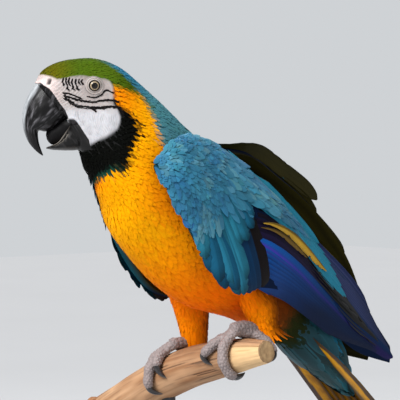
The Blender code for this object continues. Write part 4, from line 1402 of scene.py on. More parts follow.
@dataclass
class Thigh:
    """The feathered thigh of one side: skin for the Boolean, and its coat."""

    side: Side
    rows: tuple

    def limb(self) -> Limb:
        """The thigh's outline."""
        return Limb(self.rows)

    def skin(self) -> Shape:
        """The thigh's skin: the limb drawn in by the coat's depth.

        Returns:
            A closed tube.
        """
        a, b = net(np.linspace(0.0, 4.0, 48), full_turn(64))
        limb = self.limb()
        points = limb.point(a, b, -3.0)
        # The skin is orange darkened to half, as painted shade for the skin between the feathers.
        return tube(points, np.broadcast_to(Markings.ORANGE * 0.5, points.shape),
                    {"OFBake": limb.unwrap(a, b)})

    def coat(self, frame: BirdFrame) -> bpy.types.Object:
        """Soft feathers down the thigh, whose ends hang over the top of the foot, with painted shade on its
        hind side and top.

        Args:
            frame: puts them in metres.

        Returns:
            One object.
        """
        limb = self.limb()
        a, b = scatter(limb, (0.1, limb.last - 0.1, -math.pi, math.pi), lambda a, b: 2.3 + 0 * a, 61)
        gold = mixed(Markings.GOLD, Markings.ORANGE, 0.9 - 0.3 * smooth(1.0, 3.0, a) + 0 * b)
        # Painted shade: brown-orange on the thigh's hind side and towards its top, under the wing.
        rear_shade = smooth(0.7, -0.5, np.cos(b - 0.17 * self.side.value))
        tint = mixed(gold, Markings.RUST, np.clip(rear_shade * 0.85 + 0.4 * smooth(1.6, 0.2, a), 0, 1))
        tufts = Tufts(limb, a, b, 11 + 1.6 * a, 1.5 + 0 * a, 2.6 + 0 * a, tint, 62, stand=0.2, camber=0.1,
                      shade=0.04)
        return tufts.shape().piece(f"coat_thigh_{self.side.word}", frame, CONTOUR)


THIGHS = (Thigh(Side.LEFT, ((20, 2, 80, 9.0), (25, 8, 64, 14.0), (31, 15, 48, 15.5), (38, 22, 31, 16.0),
                            (40, 25.5, 16, 13.0))),
          Thigh(Side.RIGHT, ((-24, -16, 80, 10.0), (-35, -8, 61, 20.0), (-41, 5, 41, 19.5),
                             (-45, 12, 21, 16.0), (-45.5, 15, 2, 13.0))))


@dataclass(frozen=True)
class Patch:
    """One piece of the coat: the sections and the turns (degrees from the back) that it grows on."""

    name: str
    sections: tuple[float, float]
    degrees: tuple[float, float] = (0.0, 180.0)


@dataclass
class Coat:
    """The body's contour feathers, their sizes read along the body from one table."""

    body: Body
    markings: Markings
    sizes: tuple = (  # pitch, length, half width
        (1.2, 3.4, 0.5), (1.3, 4.0, 0.6), (1.4, 4.8, 0.7), (1.6, 5.6, 0.8), (1.8, 7.0, 0.9), (2.0, 9.0, 1.0),
        (2.2, 11.0, 1.1), (2.6, 13.0, 1.4), (3.2, 15.5, 1.9), (3.5, 17.5, 2.1), (3.7, 19.0, 2.3),
        (3.8, 20.0, 2.4), (4.0, 21.0, 2.6), (5.0, 26.0, 4.2), (7.5, 42.0, 8.0), (8.0, 46.0, 9.0),
        (7.0, 36.0, 8.0), (5.5, 18.0, 5.0), (4.0, 9.0, 3.0))
    patches: tuple = (Patch("head", (0.45, 3.6)), Patch("nape", (3.6, 6.4)), Patch("neck", (6.4, 8.4)),
                      Patch("back", (8.4, 13.0), (0, 90)), Patch("breast", (8.4, 13.0), (90, 180)),
                      Patch("tail_root", (13.0, 17.6)))

    def flank(self, a: Array, b: Array) -> Array:
        """How much smaller the feathers of the hind flanks and vent are than the table says."""
        return 1 - 0.55 * smooth(12.4, 13.6, a) * smooth(14.9, 14.3, a) * smooth(60, 80, from_back(b))

    def pitch(self, a: Array, b: Array) -> Array:
        """Distance between feathers; none grow on the bare face."""
        return np.where(self.markings.face(a, b) < 0.3, 1e6, Table(self.sizes)(a)[..., 0] * self.flank(a, b))

    def make(self, patch: Patch, seed: int) -> bpy.types.Object:
        """Grows one piece of the coat.

        Args:
            patch: where it grows.
            seed: start of its random draws.

        Returns:
            Its object.
        """
        low, high = np.radians(patch.degrees)
        spans = (-high, high) if low == 0 else (low, 2 * math.pi - low)
        a, b = scatter(self.body, (*patch.sections, *spans), self.pitch, seed)
        size = Table(self.sizes)(a) * self.flank(a, b)[:, None]
        rng = np.random.default_rng(seed)
        middle = a + 0.55 * size[:, 1] / np.linalg.norm(self.body.slopes(a, b)[0], axis=-1)
        tint = self.markings.plumage(middle, b, rng.normal(0, 0.9, len(a)))
        throat = self.markings.from_outline(a, b, Markings.THROAT)
        tint = tint * (1 + 0.10 * noise(self.body.point(a, b), 16.0, seed))[:, None]
        depth = np.maximum(self.markings.coat_depth(a, b), 0.4)
        edge = self.markings.face(a, b)
        length = size[:, 1] * (0.55 + 0.45 * smooth(0, 7, edge)) * (1 - 0.4 * smooth(2, -3, throat))
        tufts = Tufts(self.body, a, b, length, size[:, 2], depth, tint, seed, stand=0.04, camber=0.07,
                      shade=0.04, root_shade=0.05)
        return tufts.shape().piece(f"coat_{patch.name}", self.body.frame, CONTOUR)


# ---- wings -----------------------------------------------------------------------------------------------
class WingSurface(Surface):
    """A folded wing: a runs from shoulder (0) to tip (8), and b from lower edge (0) to upper (1)."""

    step = 0.01
    ROWS = {  # lower x y z, upper x y z, bulge, thickness; x towards the wing's own side
        Side.LEFT: (
            (48, -115, 158, 45, -113, 170, 2, 7), (54, -98, 130, 37, -84, 189, 11, 11),
            (57, -70, 86, 22, -40, 192, 17, 12), (58, -35, 50, 13, 5, 178, 21, 11),
            (57, 5, 48, 12, 46, 150, 20, 8), (50, 45, 41, 12, 84, 119, 15, 6),
            (40, 98, 15, 12, 124, 83, 9, 4), (28, 160, -20, 12, 176, 38, 4, 3),
            (15, 227, -38, 12, 231, -25, 1, 2)),
        Side.RIGHT: (
            (48, -115, 158, 45, -113, 170, 2, 7), (53, -97, 127, 37, -84, 189, 11, 11),
            (60, -71, 83, 22, -40, 193, 15, 12), (61, -36, 44, 12, 5, 184, 19, 11),
            (58, 0, 32, 7, 50, 178, 20, 8), (50, 45, 38, 4, 86, 156, 16, 6),
            (40, 98, 14, 0, 130, 122, 10, 4), (28, 160, -20, 0, 179, 68, 5, 3),
            (15, 227, -38, 12, 231, -25, 1, 2)),
    }

    def __init__(self, side: Side) -> None:
        """Reads the rows of this side's wing."""
        self.side = side
        self.facing = -float(side.value)
        self.table = Table(self.ROWS[side])

    def point(self, a: Array, b: Array, lift: Array | float = 0.0) -> Array:
        """Places on the wing's outer face: the chord between its edges, arched by bulge (4b (1 - b))^0.8.

        Args:
            a: shoulder to tip.
            b: lower edge to upper.
            lift: growth outwards.

        Returns:
            The places.
        """
        row = self.table(a)
        b = np.broadcast_to(b, row.shape[:-1])[..., None]
        lower, upper = row[..., :3], row[..., 3:6]
        chord = unit(upper - lower)
        outward_way = unit(np.array((1.0, 0.0, 0.0)) - chord * chord[..., :1])
        arch = np.clip(4 * b * (1 - b), 0, 1) ** 0.8
        rise = row[..., 6:7] * arch + np.asarray(lift)[..., None]
        place = lower * (1 - b) + upper * b + outward_way * rise
        return place * (self.side.value, 1.0, 1.0)

    def thickness(self, a: Array) -> Array:
        """The wing's thickness along it."""
        return self.table(a)[..., 7]

    def unwrap(self, a: Array, b: Array) -> Array:
        """Places on the wing's flat unwrap."""
        return np.stack((0.02 + 0.96 * a / 8.2, 0.04 + 0.92 * np.clip(b, 0, 1)), -1)


@dataclass
class Blades:
    """Long feathers on a surface, each from a root to a tip given as (a, b)."""

    surface: Surface
    root: Array
    tip: Array
    half: Array
    lift: tuple[Array, Array]
    outer: Array  # (n, 3) colour of the lower (outer) vane
    inner: Array  # (n, 3) colour of the upper vane
    under: Array  # (n, 3) colour of the underside
    seed: int
    stations: int = 26
    columns: int = 9
    bow: float | Array = 0.0
    blunt: float = 0.12
    slits: float = 0.16
    camber: float = 0.22
    dark_tip: float = 0.3
    dark_span: tuple[float, float] = (0.8, 1.0)  # where the darkening starts and ends
    fringe: float = -0.25  # how much lighter the vanes' edges are
    root_width: float = 0.5
    swell: float = 2.2  # how fast a blade reaches its full width
    shaft: float = 0.0  # how much of a pale violet its shaft shows

    def shape(self) -> Shape:
        """Runs each feather from root to tip, tapered to a round end; a few splits open its edges.

        Returns:
            The feathers as one shape.
        """
        rng = np.random.default_rng(self.seed)
        n, k, c = len(self.root), self.stations, self.columns
        x = np.linspace(0, 1, k) ** 0.9
        a = self.root[:, :1] + (self.tip[:, :1] - self.root[:, :1]) * x
        b = self.root[:, 1:] + (self.tip[:, 1:] - self.root[:, 1:]) * x + self.bow * np.sin(math.pi * x)
        low, high = self.lift
        line, normal = self.surface.spot(a, b, low[:, None] + (high - low)[:, None] * smooth(0, 1, x))
        rounded = np.sqrt(1 - ((x - 1 + self.blunt) / self.blunt).clip(0, 0.992) ** 2)
        half = self.half[:, None] * (np.minimum(1, self.root_width + self.swell * x) * rounded)
        across = np.linspace(-1, 1, c)
        share = smooth(-0.2, 0.35, across)[None, None, :, None] * np.ones((n, k, 1, 1))
        top = self.outer[:, None, None] * (1 - share) + self.inner[:, None, None] * share
        shine = self.shaft * smooth(0.2, 0.0, np.abs(across)) * np.ones((n, k, 1))
        top = mixed(top, srgb(150, 150, 214), shine)
        under = np.broadcast_to(self.under[:, None, None], (n, k, c, 3))
        spots = np.broadcast_arrays(x[None, :, None] * 9, across * 1.3, np.arange(n)[:, None, None] * 7.3)
        shade = 1 + 0.10 * noise(np.stack(spots, -1), 1.0, self.seed)
        shade = shade * (1 - self.dark_tip * smooth(*self.dark_span, x)[:, None])
        shade = shade * (1 + self.fringe * across**6)
        made = Vanes(line, normal, half, top * shade[..., None], under * shade[..., None],
                     self.surface.unwrap(*self.root.T), self.camber, 0.35)
        if self.slits:
            made.notch = rng.uniform(0, 1, (n, k, 2)) * (rng.uniform(0, 1, (n, k, 2)) < 0.22) * self.slits
        return made.shape()


@dataclass
class Vent:
    """The long soft feathers under the tail's root: teal, with lighter turquoise fringes."""

    body: Body
    # from, to, half width, count
    rows: tuple = ((14.6, 18.6, 9.5, 9), (13.8, 17.2, 9.0, 10), (13.0, 15.8, 8.0, 11))

    def make(self) -> bpy.types.Object:
        """Three overlapping rows, from the vent back.

        Returns:
            One object.
        """
        shapes = []
        for row, (first, last, half, count) in enumerate(self.rows):
            rng = np.random.default_rng(520 + row)
            b = np.radians(np.linspace(84, 276, count) + rng.normal(0, 3, count))
            a = first + rng.uniform(-0.2, 0.2, count)
            root, tip = np.stack((a, b), -1), np.stack((a + last - first, b + (math.pi - b) * 0.15), -1)
            teal = mixed(srgb(9, 34, 36), srgb(22, 72, 84), rng.uniform(0, 1, count) ** 2)
            teal = teal * (1 - 0.35 * (row == 2))
            low = np.full(count, -3.0 + 0.4 * row)
            shapes.append(Blades(self.body, root, tip, np.full(count, half), (low, low + 3.2), teal,
                                 teal * 0.85, teal * 0.4, 530 + row, stations=24, slits=0.3, blunt=0.3,
                                 fringe=0.7, dark_tip=-1.3, dark_span=(0.15, 0.95), camber=0.12).shape())
        return joined(shapes).piece("coat_vent", self.body.frame, COVERT)


@dataclass
class Wing:
    """One folded wing: its bed, flight feathers, coverts and the olive fold between the two stacks."""

    side: Side
    frame: BirdFrame

    def __post_init__(self) -> None:
        """Sets up the wing's outer face and the start of its random draws."""
        self.surface = WingSurface(self.side)
        self.seed = 200 if self.side is Side.LEFT else 300

    def obj(self, shape: Shape, name: str, finish: Finish) -> bpy.types.Object:
        """Makes and dresses one piece."""
        return shape.piece(f"plumes_{self.side.word}_{name}", self.frame, finish)

    def bed(self) -> bpy.types.Object:
        """The wing's body under the feathers: dark outside, olive-gold lining inside darkened as painted
        shade.

        Returns:
            Its object.
        """
        a, b = net(np.linspace(0.02, 7.9, 90), np.linspace(0.02, 0.98, 40))
        outer, _ = self.surface.spot(a, b, -np.minimum(self.surface.thickness(a) - 0.8, 3.0))
        inner, _ = self.surface.spot(a, b, -self.surface.thickness(a) + 0.3)
        stripe = 1 + 0.35 * np.sin(b * 60 + 2 * noise(outer, 30, 5))
        # Painted shade: the olive-gold lining darkened to 0.14 of its colour.
        inside = srgb(92, 84, 22) * stripe[..., None] * 0.14
        outside = mixed(srgb(26, 82, 96), srgb(10, 26, 54), smooth(2.6, 3.4, a))
        place = self.surface.unwrap(a, b)
        grid, tint, maps = (np.concatenate((near, far[:, ::-1]), axis=1)
                            for near, far in ((outer, inner), (outside, inside), (place, place)))
        return self.obj(tube(grid, tint, {"OFBake": maps}), "bed", CONTOUR)

    def stack(self, count: int, root: tuple, tip: tuple, half: Point, low: Point, high: Point, outer: Array,
              inner: Array, under: Array, seed: int, **more: float) -> Shape:
        """Lays blades side by side, evenly from a first to a last one.

        Args:
            count: how many blades.
            root, tip: (a, b) of the first and of the last.
            half: half widths of the first and of the last.
            low, high: lifts at the root and at the tip, of the first and of the last.
            outer, inner, under: colours of the lower vanes, the upper vanes and the undersides.
            seed: start of the random draws, after the wing's own.
            more: the blades' other sizes.

        Returns:
            The blades as one shape.
        """
        root, tip, half, low, high = (np.linspace(*ends, count) for ends in (root, tip, half, low, high))
        colours = (np.broadcast_to(colour, (count, 3)) for colour in (outer, inner, under))
        return Blades(self.surface, root, tip, half, (low, high), *colours, self.seed + seed, **more).shape()

    def primaries(self) -> bpy.types.Object:
        """The outer flight feathers: blue, their upper vanes violet, dark gold below.

        Returns:
            Their object.
        """
        n = 9
        share = np.linspace(0, 1, n)
        outer = mixed(srgb(12, 62, 128), srgb(16, 84, 164), smooth(0.0, 0.6, share))
        inner = mixed(srgb(10, 54, 116), srgb(66, 52, 168), smooth(0.8, 1.0, share))
        shape = self.stack(n, ((3.8, 0.05), (3.35, 0.36)), ((6.5, 0.06), (7.95, 0.42)), (9.0, 9.5),
                           (-3.4, -1.8), (-1.6, -0.4), outer, inner, srgb(120, 100, 30), 1, stations=44,
                           bow=np.linspace((-0.02,), (-0.11,), n), slits=0.0, blunt=0.1, fringe=-0.15,
                           dark_tip=0.8, dark_span=(0.12, 0.8))
        return self.obj(shape, "primaries", QUILL)

    def secondaries(self) -> bpy.types.Object:
        """The inner flight feathers, painted dark as the shadow under the fold.

        Returns:
            Their object.
        """
        n = 5
        # Painted shadow: dark violet to nearly black, the inner vanes darker still.
        dark = np.linspace(srgb(28, 20, 52), srgb(8, 7, 11), n)
        shape = self.stack(n, ((3.3, 0.40), (3.5, 0.60)), ((7.3, 0.34), (7.3, 0.78)), (10.5, 9.5),
                           (-2.4, -2.9), (-2.2, -2.4), dark, dark * 0.7, srgb(116, 98, 26), 2, stations=36,
                           slits=0.0)
        return self.obj(shape, "secondaries", QUILL)

    def fold(self) -> bpy.types.Object:
        """The curled edges of two secondaries, which turn their olive-gold undersides outwards.

        Returns:
            Their object.
        """
        outer = np.stack((srgb(96, 76, 16), srgb(70, 56, 22)))
        inner = np.stack((srgb(206, 162, 52), srgb(120, 92, 36)))
        shape = self.stack(2, ((3.55, 0.485), (3.5, 0.45)), ((5.98, 0.62), (5.3, 0.49)), (6.4, 3.6),
                           (0.4, -0.6), (1.2, -0.6), outer, inner, srgb(30, 60, 90), 3, camber=0.45,
                           bow=0.015, stations=30, slits=0.3, blunt=0.4, root_width=0.1, swell=1.5)
        return self.obj(shape, "fold", QUILL)

    def tertials(self) -> bpy.types.Object:
        """The upper stack: long blue feathers with pale violet shafts, and turquoise ones over them.

        Returns:
            Their object; on the far wing they are darkened to a deep olive as painted shade.
        """
        near = self.side is Side.LEFT
        ends = ((3.6, 0.94), (7.3, 1.06)) if near else ((3.6, 0.90), (6.9, 0.93))
        olive = srgb(84, 76, 22)
        blue = mixed(srgb(8, 42, 90), olive, 0.15)
        strip = self.stack(9, ((3.6, 0.70), ends[0]), ((7.9, 0.66), ends[1]), (6.6, 7.0), (-2.6, -2.0),
                           (-1.2, -0.6), mixed(blue * 0.8, srgb(30, 34, 98), 0.25), blue, olive, 4,
                           stations=40, slits=0.0, blunt=0.08, shaft=0.12, fringe=0.35)
        turquoise = srgb(42, 138, 166)
        colour = np.linspace(turquoise, turquoise * 0.85, 6)
        over = self.stack(6, ((3.2, 0.66), (3.0, 0.98)), ((6.62, 0.635), (6.0, 1.05)), (9.0, 7.0),
                          (-1.8, -1.2), (-0.2, 0.5), colour, colour * 0.92, olive, 5, stations=36,
                          slits=0.10, blunt=0.16, dark_tip=0.05)
        shape = joined([strip, over])
        if not near:
            # Painted shade: the far wing's colours darkened towards a deep olive.
            lightness = 0.1 + shape.tint.mean(1, keepdims=True) * 5
            shape.tint = mixed(shape.tint, srgb(22, 24, 14) * lightness, 0.75)
        return self.obj(shape, "tertials", QUILL)

    def lining(self) -> bpy.types.Object:
        """The feathers' undersides: olive blades darkened nearly to black as painted shade, with paler edges,
        on the wing's inner face.

        Returns:
            Their object.
        """
        n = 13
        face = WingSurface(self.side)
        face.facing *= -1
        rng = np.random.default_rng(self.seed + 21)
        # Painted shade: olive darkened nearly to black on most blades, the upper vanes darker still.
        olive = mixed(srgb(10, 14, 14), srgb(64, 60, 18), rng.uniform(0, 1, n) ** 3)
        deep = face.thickness(np.linspace(2.2, 4.5, n))
        layer = 0.25 * np.arange(n)
        shape = Blades(face, np.linspace((2.6, 0.35), (1.3, 0.92), n),
                       np.linspace((7.6, 0.42), (5.2, 0.92), n), np.linspace(8.5, 7.0, n),
                       (deep + 0.4 + layer, 1.2 + layer), olive, olive * 0.2, np.full((n, 3), 0.02),
                       self.seed + 20, stations=34, slits=0.25, blunt=0.2, fringe=1.2).shape()
        return self.obj(shape, "lining", QUILL)

    def great_coverts(self) -> bpy.types.Object:
        """The long coverts that hang across the wing's lower half, frayed, over a dark blue panel painted as
        shade.

        Returns:
            Their object.
        """
        tips = Table(((2.15, 0.02), (2.45, 0.0), (2.73, 0.0), (2.93, 0.0), (3.05, 0.04), (3.22, 0.0),
                      (3.36, 0.0), (3.46, 0.03), (2.95, 0.27), (3.10, 0.32), (3.22, 0.41), (3.24, 0.50)))
        roots = Table(((1.50, 0.24), (1.60, 0.25), (1.72, 0.26), (1.82, 0.28), (1.92, 0.30), (2.00, 0.33),
                       (2.08, 0.37), (2.16, 0.42), (2.20, 0.50), (2.32, 0.56), (2.50, 0.60), (2.70, 0.64)))
        n = 13
        at = np.linspace(0, 11, n)
        rng = np.random.default_rng(self.seed + 7)
        tip = tips(at) + rng.normal(0, 0.02, (n, 2)) * (1, 0.3)
        tip[:, 1] = np.maximum(tip[:, 1], 0.0)
        m = 4
        # Painted shade: the panel between the coverts and the flight feathers, dark blue to nearly black.
        panel_shade = mixed(srgb(10, 50, 84), srgb(22, 17, 18), smooth(0.5, 1.0, np.linspace(0, 1, m)))
        panel = self.stack(m, ((2.35, 0.50), (2.95, 0.60)), ((3.66, 0.0), (3.98, 0.03)), (9.5, 9.5),
                           (-2.2, -2.2), (-0.9, -0.9), panel_shade, panel_shade * 0.85, np.full(3, 0.03), 8, slits=0.0,
                           dark_tip=0.2, blunt=0.12, camber=0.08, fringe=-0.1)
        base = mixed(srgb(22, 98, 136), srgb(44, 128, 152), rng.uniform(0, 1, n))
        base = base * rng.uniform(0.7, 1.1, (n, 1))
        low = np.linspace(-2.2, -1.6, n) + rng.uniform(-0.3, 0.3, n)
        lower = Blades(self.surface, roots(at), tip, rng.uniform(7.6, 10.0, n),
                       (low, low + rng.uniform(1.0, 2.6, n)), base * 0.7, base, base * 0.4, self.seed + 9,
                       slits=0.6, dark_tip=0.6, blunt=0.22, bow=0.02)
        return self.obj(joined([panel, lower.shape()]), "great_coverts", QUILL)

    def covert_layer(self, seed: int, spans: tuple, pitch: float, size: tuple, depth: float, edge: tuple,
                     ragged: float) -> Shape:
        """Scatters one layer of small feathers.

        Args:
            seed: start of the random draws.
            spans: first and last a, first and last b.
            pitch: distance between full-sized feathers.
            size: their length and half width.
            depth: how deep their roots lie.
            edge: b values and, for each, the a at which the layer ends.
            ragged: how far that end wanders.

        Returns:
            The layer as one shape.
        """
        a, b = scatter(self.surface, spans, lambda a, b: pitch * (0.7 + 0.3 * smooth(0.2, 1.1, a)), seed)
        keep = a < np.interp(b, *edge) + ragged * noise(self.surface.point(a, b), 20.0, seed)
        a, b = a[keep], b[keep]
        rng = np.random.default_rng(self.seed + seed)
        steep = smooth(0.75, 0.3, b) * smooth(0.9, 2.2, a) * smooth(4.6, 3.4, a)
        place = self.surface.point(a, b)
        tint = mixed(srgb(38, 104, 142), srgb(56, 128, 150), 0.5 + 0.5 * noise(place, 14.0, seed))
        tint = mixed(tint, srgb(92, 146, 158), smooth(0.1, 0.8, noise(place, 9.0, seed + 1)) * 0.7)
        tint = mixed(tint, srgb(28, 78, 140), smooth(0.09, 0.03, b) * smooth(0.6, 1.4, a) * 0.7)
        tint = tint * (1 + 0.16 * noise(place, 5.0, seed + 2))[:, None]
        small = 0.62 + 0.38 * smooth(0.2, 1.1, a)
        length = size[0] * (0.75 + 0.35 * smooth(0.5, 3.0, a)) * small * rng.uniform(0.9, 1.1, len(a))
        turn_down = (-62.0 * steep - 12.0) * smooth(0.0, 0.16, b) + 10.0 * smooth(0.1, 0.0, b)
        return Tufts(self.surface, a, b, length, size[1] * small, depth * small, tint, self.seed + seed,
                     sway=18.0, drift=turn_down, stand=0.35, camber=0.16, shade=0.10,
                     stations=(0.0, 0.25, 0.5, 0.72, 0.88, 1.0),
                     widths=(0.45, 0.85, 1.0, 0.95, 0.7, 0.2)).shape()

    def coverts(self) -> bpy.types.Object:
        """The middle coverts that cover the long ones' roots, and the small ones from the shoulder back.

        Returns:
            One object.
        """
        middle = self.covert_layer(11, (1.2, 4.9, 0.28, 0.95), 6.0, (30.0, 5.2), 2.2, (
            (0.28, 0.4, 0.5, 0.6, 0.66, 0.74, 0.85), (1.2, 1.6, 2.0, 2.5, 3.0, 4.3, 5.0)), 0.0)
        small = self.covert_layer(12, (-0.05, 3.0, 0.02, 0.98), 3.4, (14.0, 2.5), 2.0, (
            (0, 0.4, 1), (1.45, 2.0, 2.5)), 0.25)
        return self.obj(joined([middle, small]), "coverts", COVERT)

    def make(self) -> list[bpy.types.Object]:
        """Builds the wing's pieces."""
        return [self.bed(), self.lining(), self.primaries(), self.secondaries(), self.fold(),
                self.tertials(), self.great_coverts(), self.coverts()]


# ---- tail ------------------------------------------------------------------------------------------------
@dataclass
class Tail:
    """Twelve graduated blades: blue above, gold to olive below, black along the inner edges."""

    frame: BirdFrame
    root: Point = (1.0, 93.0, 19.0)
    length: float = 470.0
    pitch: float = 44.0
    yaw: float = 2.0
    spacing: float = 1.9
    arch: float = 0.09
    top: float = 5.0
    grades: tuple[float, ...] = (1.0, 0.94, 0.80, 0.66, 0.53, 0.42)
    stations: int = 60
    columns: int = 13

    def blade(self, side: Side, rank: int) -> bpy.types.Object:
        """One blade.

        Args:
            side: which half of the tail.
            rank: 0 for the long middle pair, 5 for the outermost.

        Returns:
            Its object.
        """
        p, q = math.radians(self.pitch), math.radians(self.yaw)
        back, across = np.array((math.sin(q), math.cos(q), 0.0)), np.array((math.cos(q), -math.sin(q), 0.0))
        along, up = back * math.cos(p) - UP * math.sin(p), back * math.sin(p) + UP * math.cos(p)
        length, half, fan = self.length * self.grades[rank], 13.5 - 0.5 * rank, math.radians(1.1 * rank)
        x = np.concatenate((np.linspace(0, 0.9, self.stations - 16),
                            0.9 + 0.1 * np.linspace(0, 1, 17)[1:] ** 0.6))
        full = np.minimum(1.0, (0.35 if rank < 3 else 0.3) + x * 2.6)
        width = half * full * (1.0 - 0.92 * np.clip((x - 0.72) / 0.28, 0, 1) ** 2.2)
        reach = (half - 1.6 + 2.9 * rank) * full + length * x * math.sin(fan)
        height = self.top - (rank + 0.5 * (side is Side.LEFT)) * self.spacing - reach * self.arch
        line = (np.array(self.root) + np.outer(length * x * math.cos(fan), along)
                + np.outer(side.value * reach, across) + np.outer(height, up))
        tilt = unit(up + across * side.value * self.arch)
        v = np.linspace(-1, 1, self.columns) * side.value
        blue, deep = srgb(28, 96, 160), srgb(18, 44, 92)
        gold, olive, black = srgb(238, 168, 0), srgb(112, 70, 6), srgb(20, 18, 16)
        streak = noise(np.stack(np.broadcast_arrays(x[:, None] * 30 - np.abs(v) * 2, v * 3, rank * 9.0), -1),
                       1.0, rank)
        top = mixed(blue, deep, smooth(0.0, -1.0, v) * np.ones((self.stations, 1)))
        # Painted shade: the right half's undersides are more olive.
        shaded = 0.15 if side is Side.LEFT else 0.5
        under = mixed(gold, olive, np.clip(shaded + 0.5 * smooth(0.2, -1.0, v) + 0.3 * streak, 0, 1))
        under = mixed(under, black, smooth(-0.55, -0.95, v + 0.15 * streak) * 0.8)
        under = mixed(under, srgb(10, 22, 40), smooth(0.2, 0.45, v + 0.1 * streak) * 0.9 * (rank == 5))
        light = (1 + 0.14 * streak)[..., None]
        place = np.array(((0.1 + 0.13 * rank, 0.5 + 0.3 * side.value),))
        vane = Vanes(line[None], np.broadcast_to(tilt, line.shape)[None], width[None], (top * light)[None],
                     (under * light)[None], place, 0.03, 1.0)
        return vane.shape().piece(f"tail_blade_{side.word}_{rank + 1}", self.frame, QUILL)


# ---- branch, feet and stand ------------------------------------------------------------------------------
@dataclass
class Branch:
    """A cut length of bare branch with its knot and two cut ends."""

    frame: BirdFrame
    rows: tuple = ((69.0, 0.0, -5.0, 10.5), (34.0, 0.0, -11.0, 15.2), (-25.0, 0.0, -25.2, 18.8),
                   (-67.0, 0.0, -40.0, 20.0), (-105.0, 0.0, -58.5, 21.0), (-152.0, 1.0, -84.0, 22.0),
                   (-190.0, 2.0, -105.0, 23.0))
    END_SHARES = (0.985, 0.93, 0.8, 0.62, 0.44, 0.27, 0.12)  # of the end's radius, ring by ring
    knot: Point = (-163.0, -12.0, -75.0)
    knot_radius: float = 8.5
    clearance: float = 0.6

    def at(self, x: Array) -> tuple[Array, Array, Array]:
        """Reads the branch at places along the bird's left-right axis.

        Args:
            x: the places.

        Returns:
            Centre, upward normal and radius at each.
        """
        table = np.array(self.rows)
        number = np.interp(-x, -table[:, 0], np.arange(len(table)))
        read = Table(table)
        along = read(number + 0.02)[:, :3] - read(number - 0.02)[:, :3]
        normal = unit(np.cross((0.0, -1.0, 0.0), along))
        return read(number)[:, :3], normal * np.sign(normal[:, 2:3]), read(number)[:, 3]

    def on(self, x: Array, angle: Array, height: Array | float) -> Array:
        """Places on the branch: centre + (radius + height) (cos(angle) up + sin(angle) front).

        Args:
            x: where along the left-right axis.
            angle: degrees from the top towards the front.
            height: off the bark.

        Returns:
            The places.
        """
        centre, normal, radius = self.at(x)
        angle = np.radians(angle)[:, None]
        reach = (radius + height + self.clearance)[:, None]
        return centre + reach * (np.cos(angle) * normal + np.sin(angle) * np.array((0.0, -1.0, 0.0)))

    def make(self) -> bpy.types.Object:
        """Smooth bare wood with long grain, waves and cracks, a knot, and year rings on the cut ends.

        Returns:
            Its object, knot and all.
        """
        row = Table(self.rows)(np.linspace(0, 6, 240))
        angle = full_turn(120)
        along = unit(np.gradient(row[:, :3], axis=0))
        first = unit(np.cross(along, (0.0, 1.0, 0.0)))
        second = np.cross(along, first)
        c, s = np.cos(angle)[None, :, None], np.sin(angle)[None, :, None]
        way = first[:, None] * c + second[:, None] * s
        place = row[:, None, :3] + way * row[:, None, 3:]
        run = np.stack(np.broadcast_arrays(row[:, :1] / 26, np.cos(angle) * 2.6, np.sin(angle) * 2.6), -1)
        grain = noise(run * (1, 2.2, 2.2), 1.0, 81)
        fine = noise(run * (1.6, 7, 7), 1.0, 82)
        waves = noise(place, 26.0, 83)
        crack = smooth(0.52, 0.72, noise(run * (0.5, 5, 5), 1.0, 84))
        lump = np.exp(-(np.linalg.norm(place - np.array((18.0, -15.0, -8.0)), axis=-1) / 8) ** 2)
        relief = 0.30 * grain + 0.16 * fine + 0.5 * waves - 0.9 * crack + 1.2 * lump - 0.2
        place = place + way * relief[..., None]
        first_end = self.cut_end(row[0, :3], place[0], along[0])[::-1]
        last_end = self.cut_end(row[-1, :3], place[-1], -along[-1])
        grid = np.concatenate((first_end, place, last_end))
        pale, brown, grey = srgb(188, 148, 112), srgb(146, 102, 68), srgb(112, 84, 64)
        bark = mixed(pale, brown, np.clip(0.45 + 0.55 * grain + 0.35 * waves, 0, 1))
        bark = mixed(bark, grey, np.clip(smooth(0.1, 0.8, fine) * 0.5 + crack * 0.9 + lump * 0.4, 0, 1))
        bare = smooth(34.0, 40.0, place[..., 0] + 3 * waves) * smooth(0.75, 0.35, way[..., 2])
        bare = bare * smooth(0.4, 0.0, way[..., 1])
        bark = mixed(bark, srgb(226, 188, 138) * (1 + 0.12 * fine)[..., None], bare * 0.9)
        tint = np.concatenate((self.cut_colour(first_end, grey), bark, self.cut_colour(last_end, grey)))
        polar, turn = net(np.linspace(0.04, math.pi - 0.04, 28), full_turn(44))
        ball = np.stack((np.sin(polar) * np.cos(turn), np.sin(polar) * np.sin(turn), np.cos(polar)), -1)
        swell = self.knot_radius * (1 + 0.05 * noise(ball * 9, 2.0, 87))
        ball = np.array(self.knot) + ball * swell[..., None]
        knot_tint = brown * (1 + 0.2 * noise(ball, 1.8, 88))[..., None]
        return joined([tube(grid, tint), tube(ball, knot_tint)]).piece("branch", self.frame, WOOD)

    @staticmethod
    def cut_end(centre: Array, ring: Array, way_in: Array) -> Array:
        """Rings of a sawn end, from its edge to near its middle.

        Args:
            centre: the end's middle.
            ring: the last ring of bark.
            way_in: direction into the wood.

        Returns:
            (7, around, 3) places.
        """
        rings = []
        for share in Branch.END_SHARES:
            spot = centre + (ring - centre) * share
            rough = noise(spot, 2.5, 85)[:, None]
            rings.append(spot - way_in * (0.5 * (share < 0.95)) + way_in * 0.4 * rough)
        return np.stack(rings)

    @staticmethod
    def cut_colour(rings: Array, edge: Array) -> Array:
        """Colour of a sawn end: year rings as a sine of the distance from its middle.

        Args:
            rings: the end's places.
            edge: colour of its edge.

        Returns:
            One colour for each place.
        """
        far = np.linalg.norm(rings - rings.mean((0, 1)), axis=-1)
        year = 0.5 + 0.5 * np.sin(far * 2.6 + noise(rings, 5.0, 86) * 2)
        tone = mixed(srgb(178, 146, 106), srgb(142, 112, 78), 0.6 * year)
        return mixed(tone, edge, smooth(8.6, 10.6, far) * 0.7)


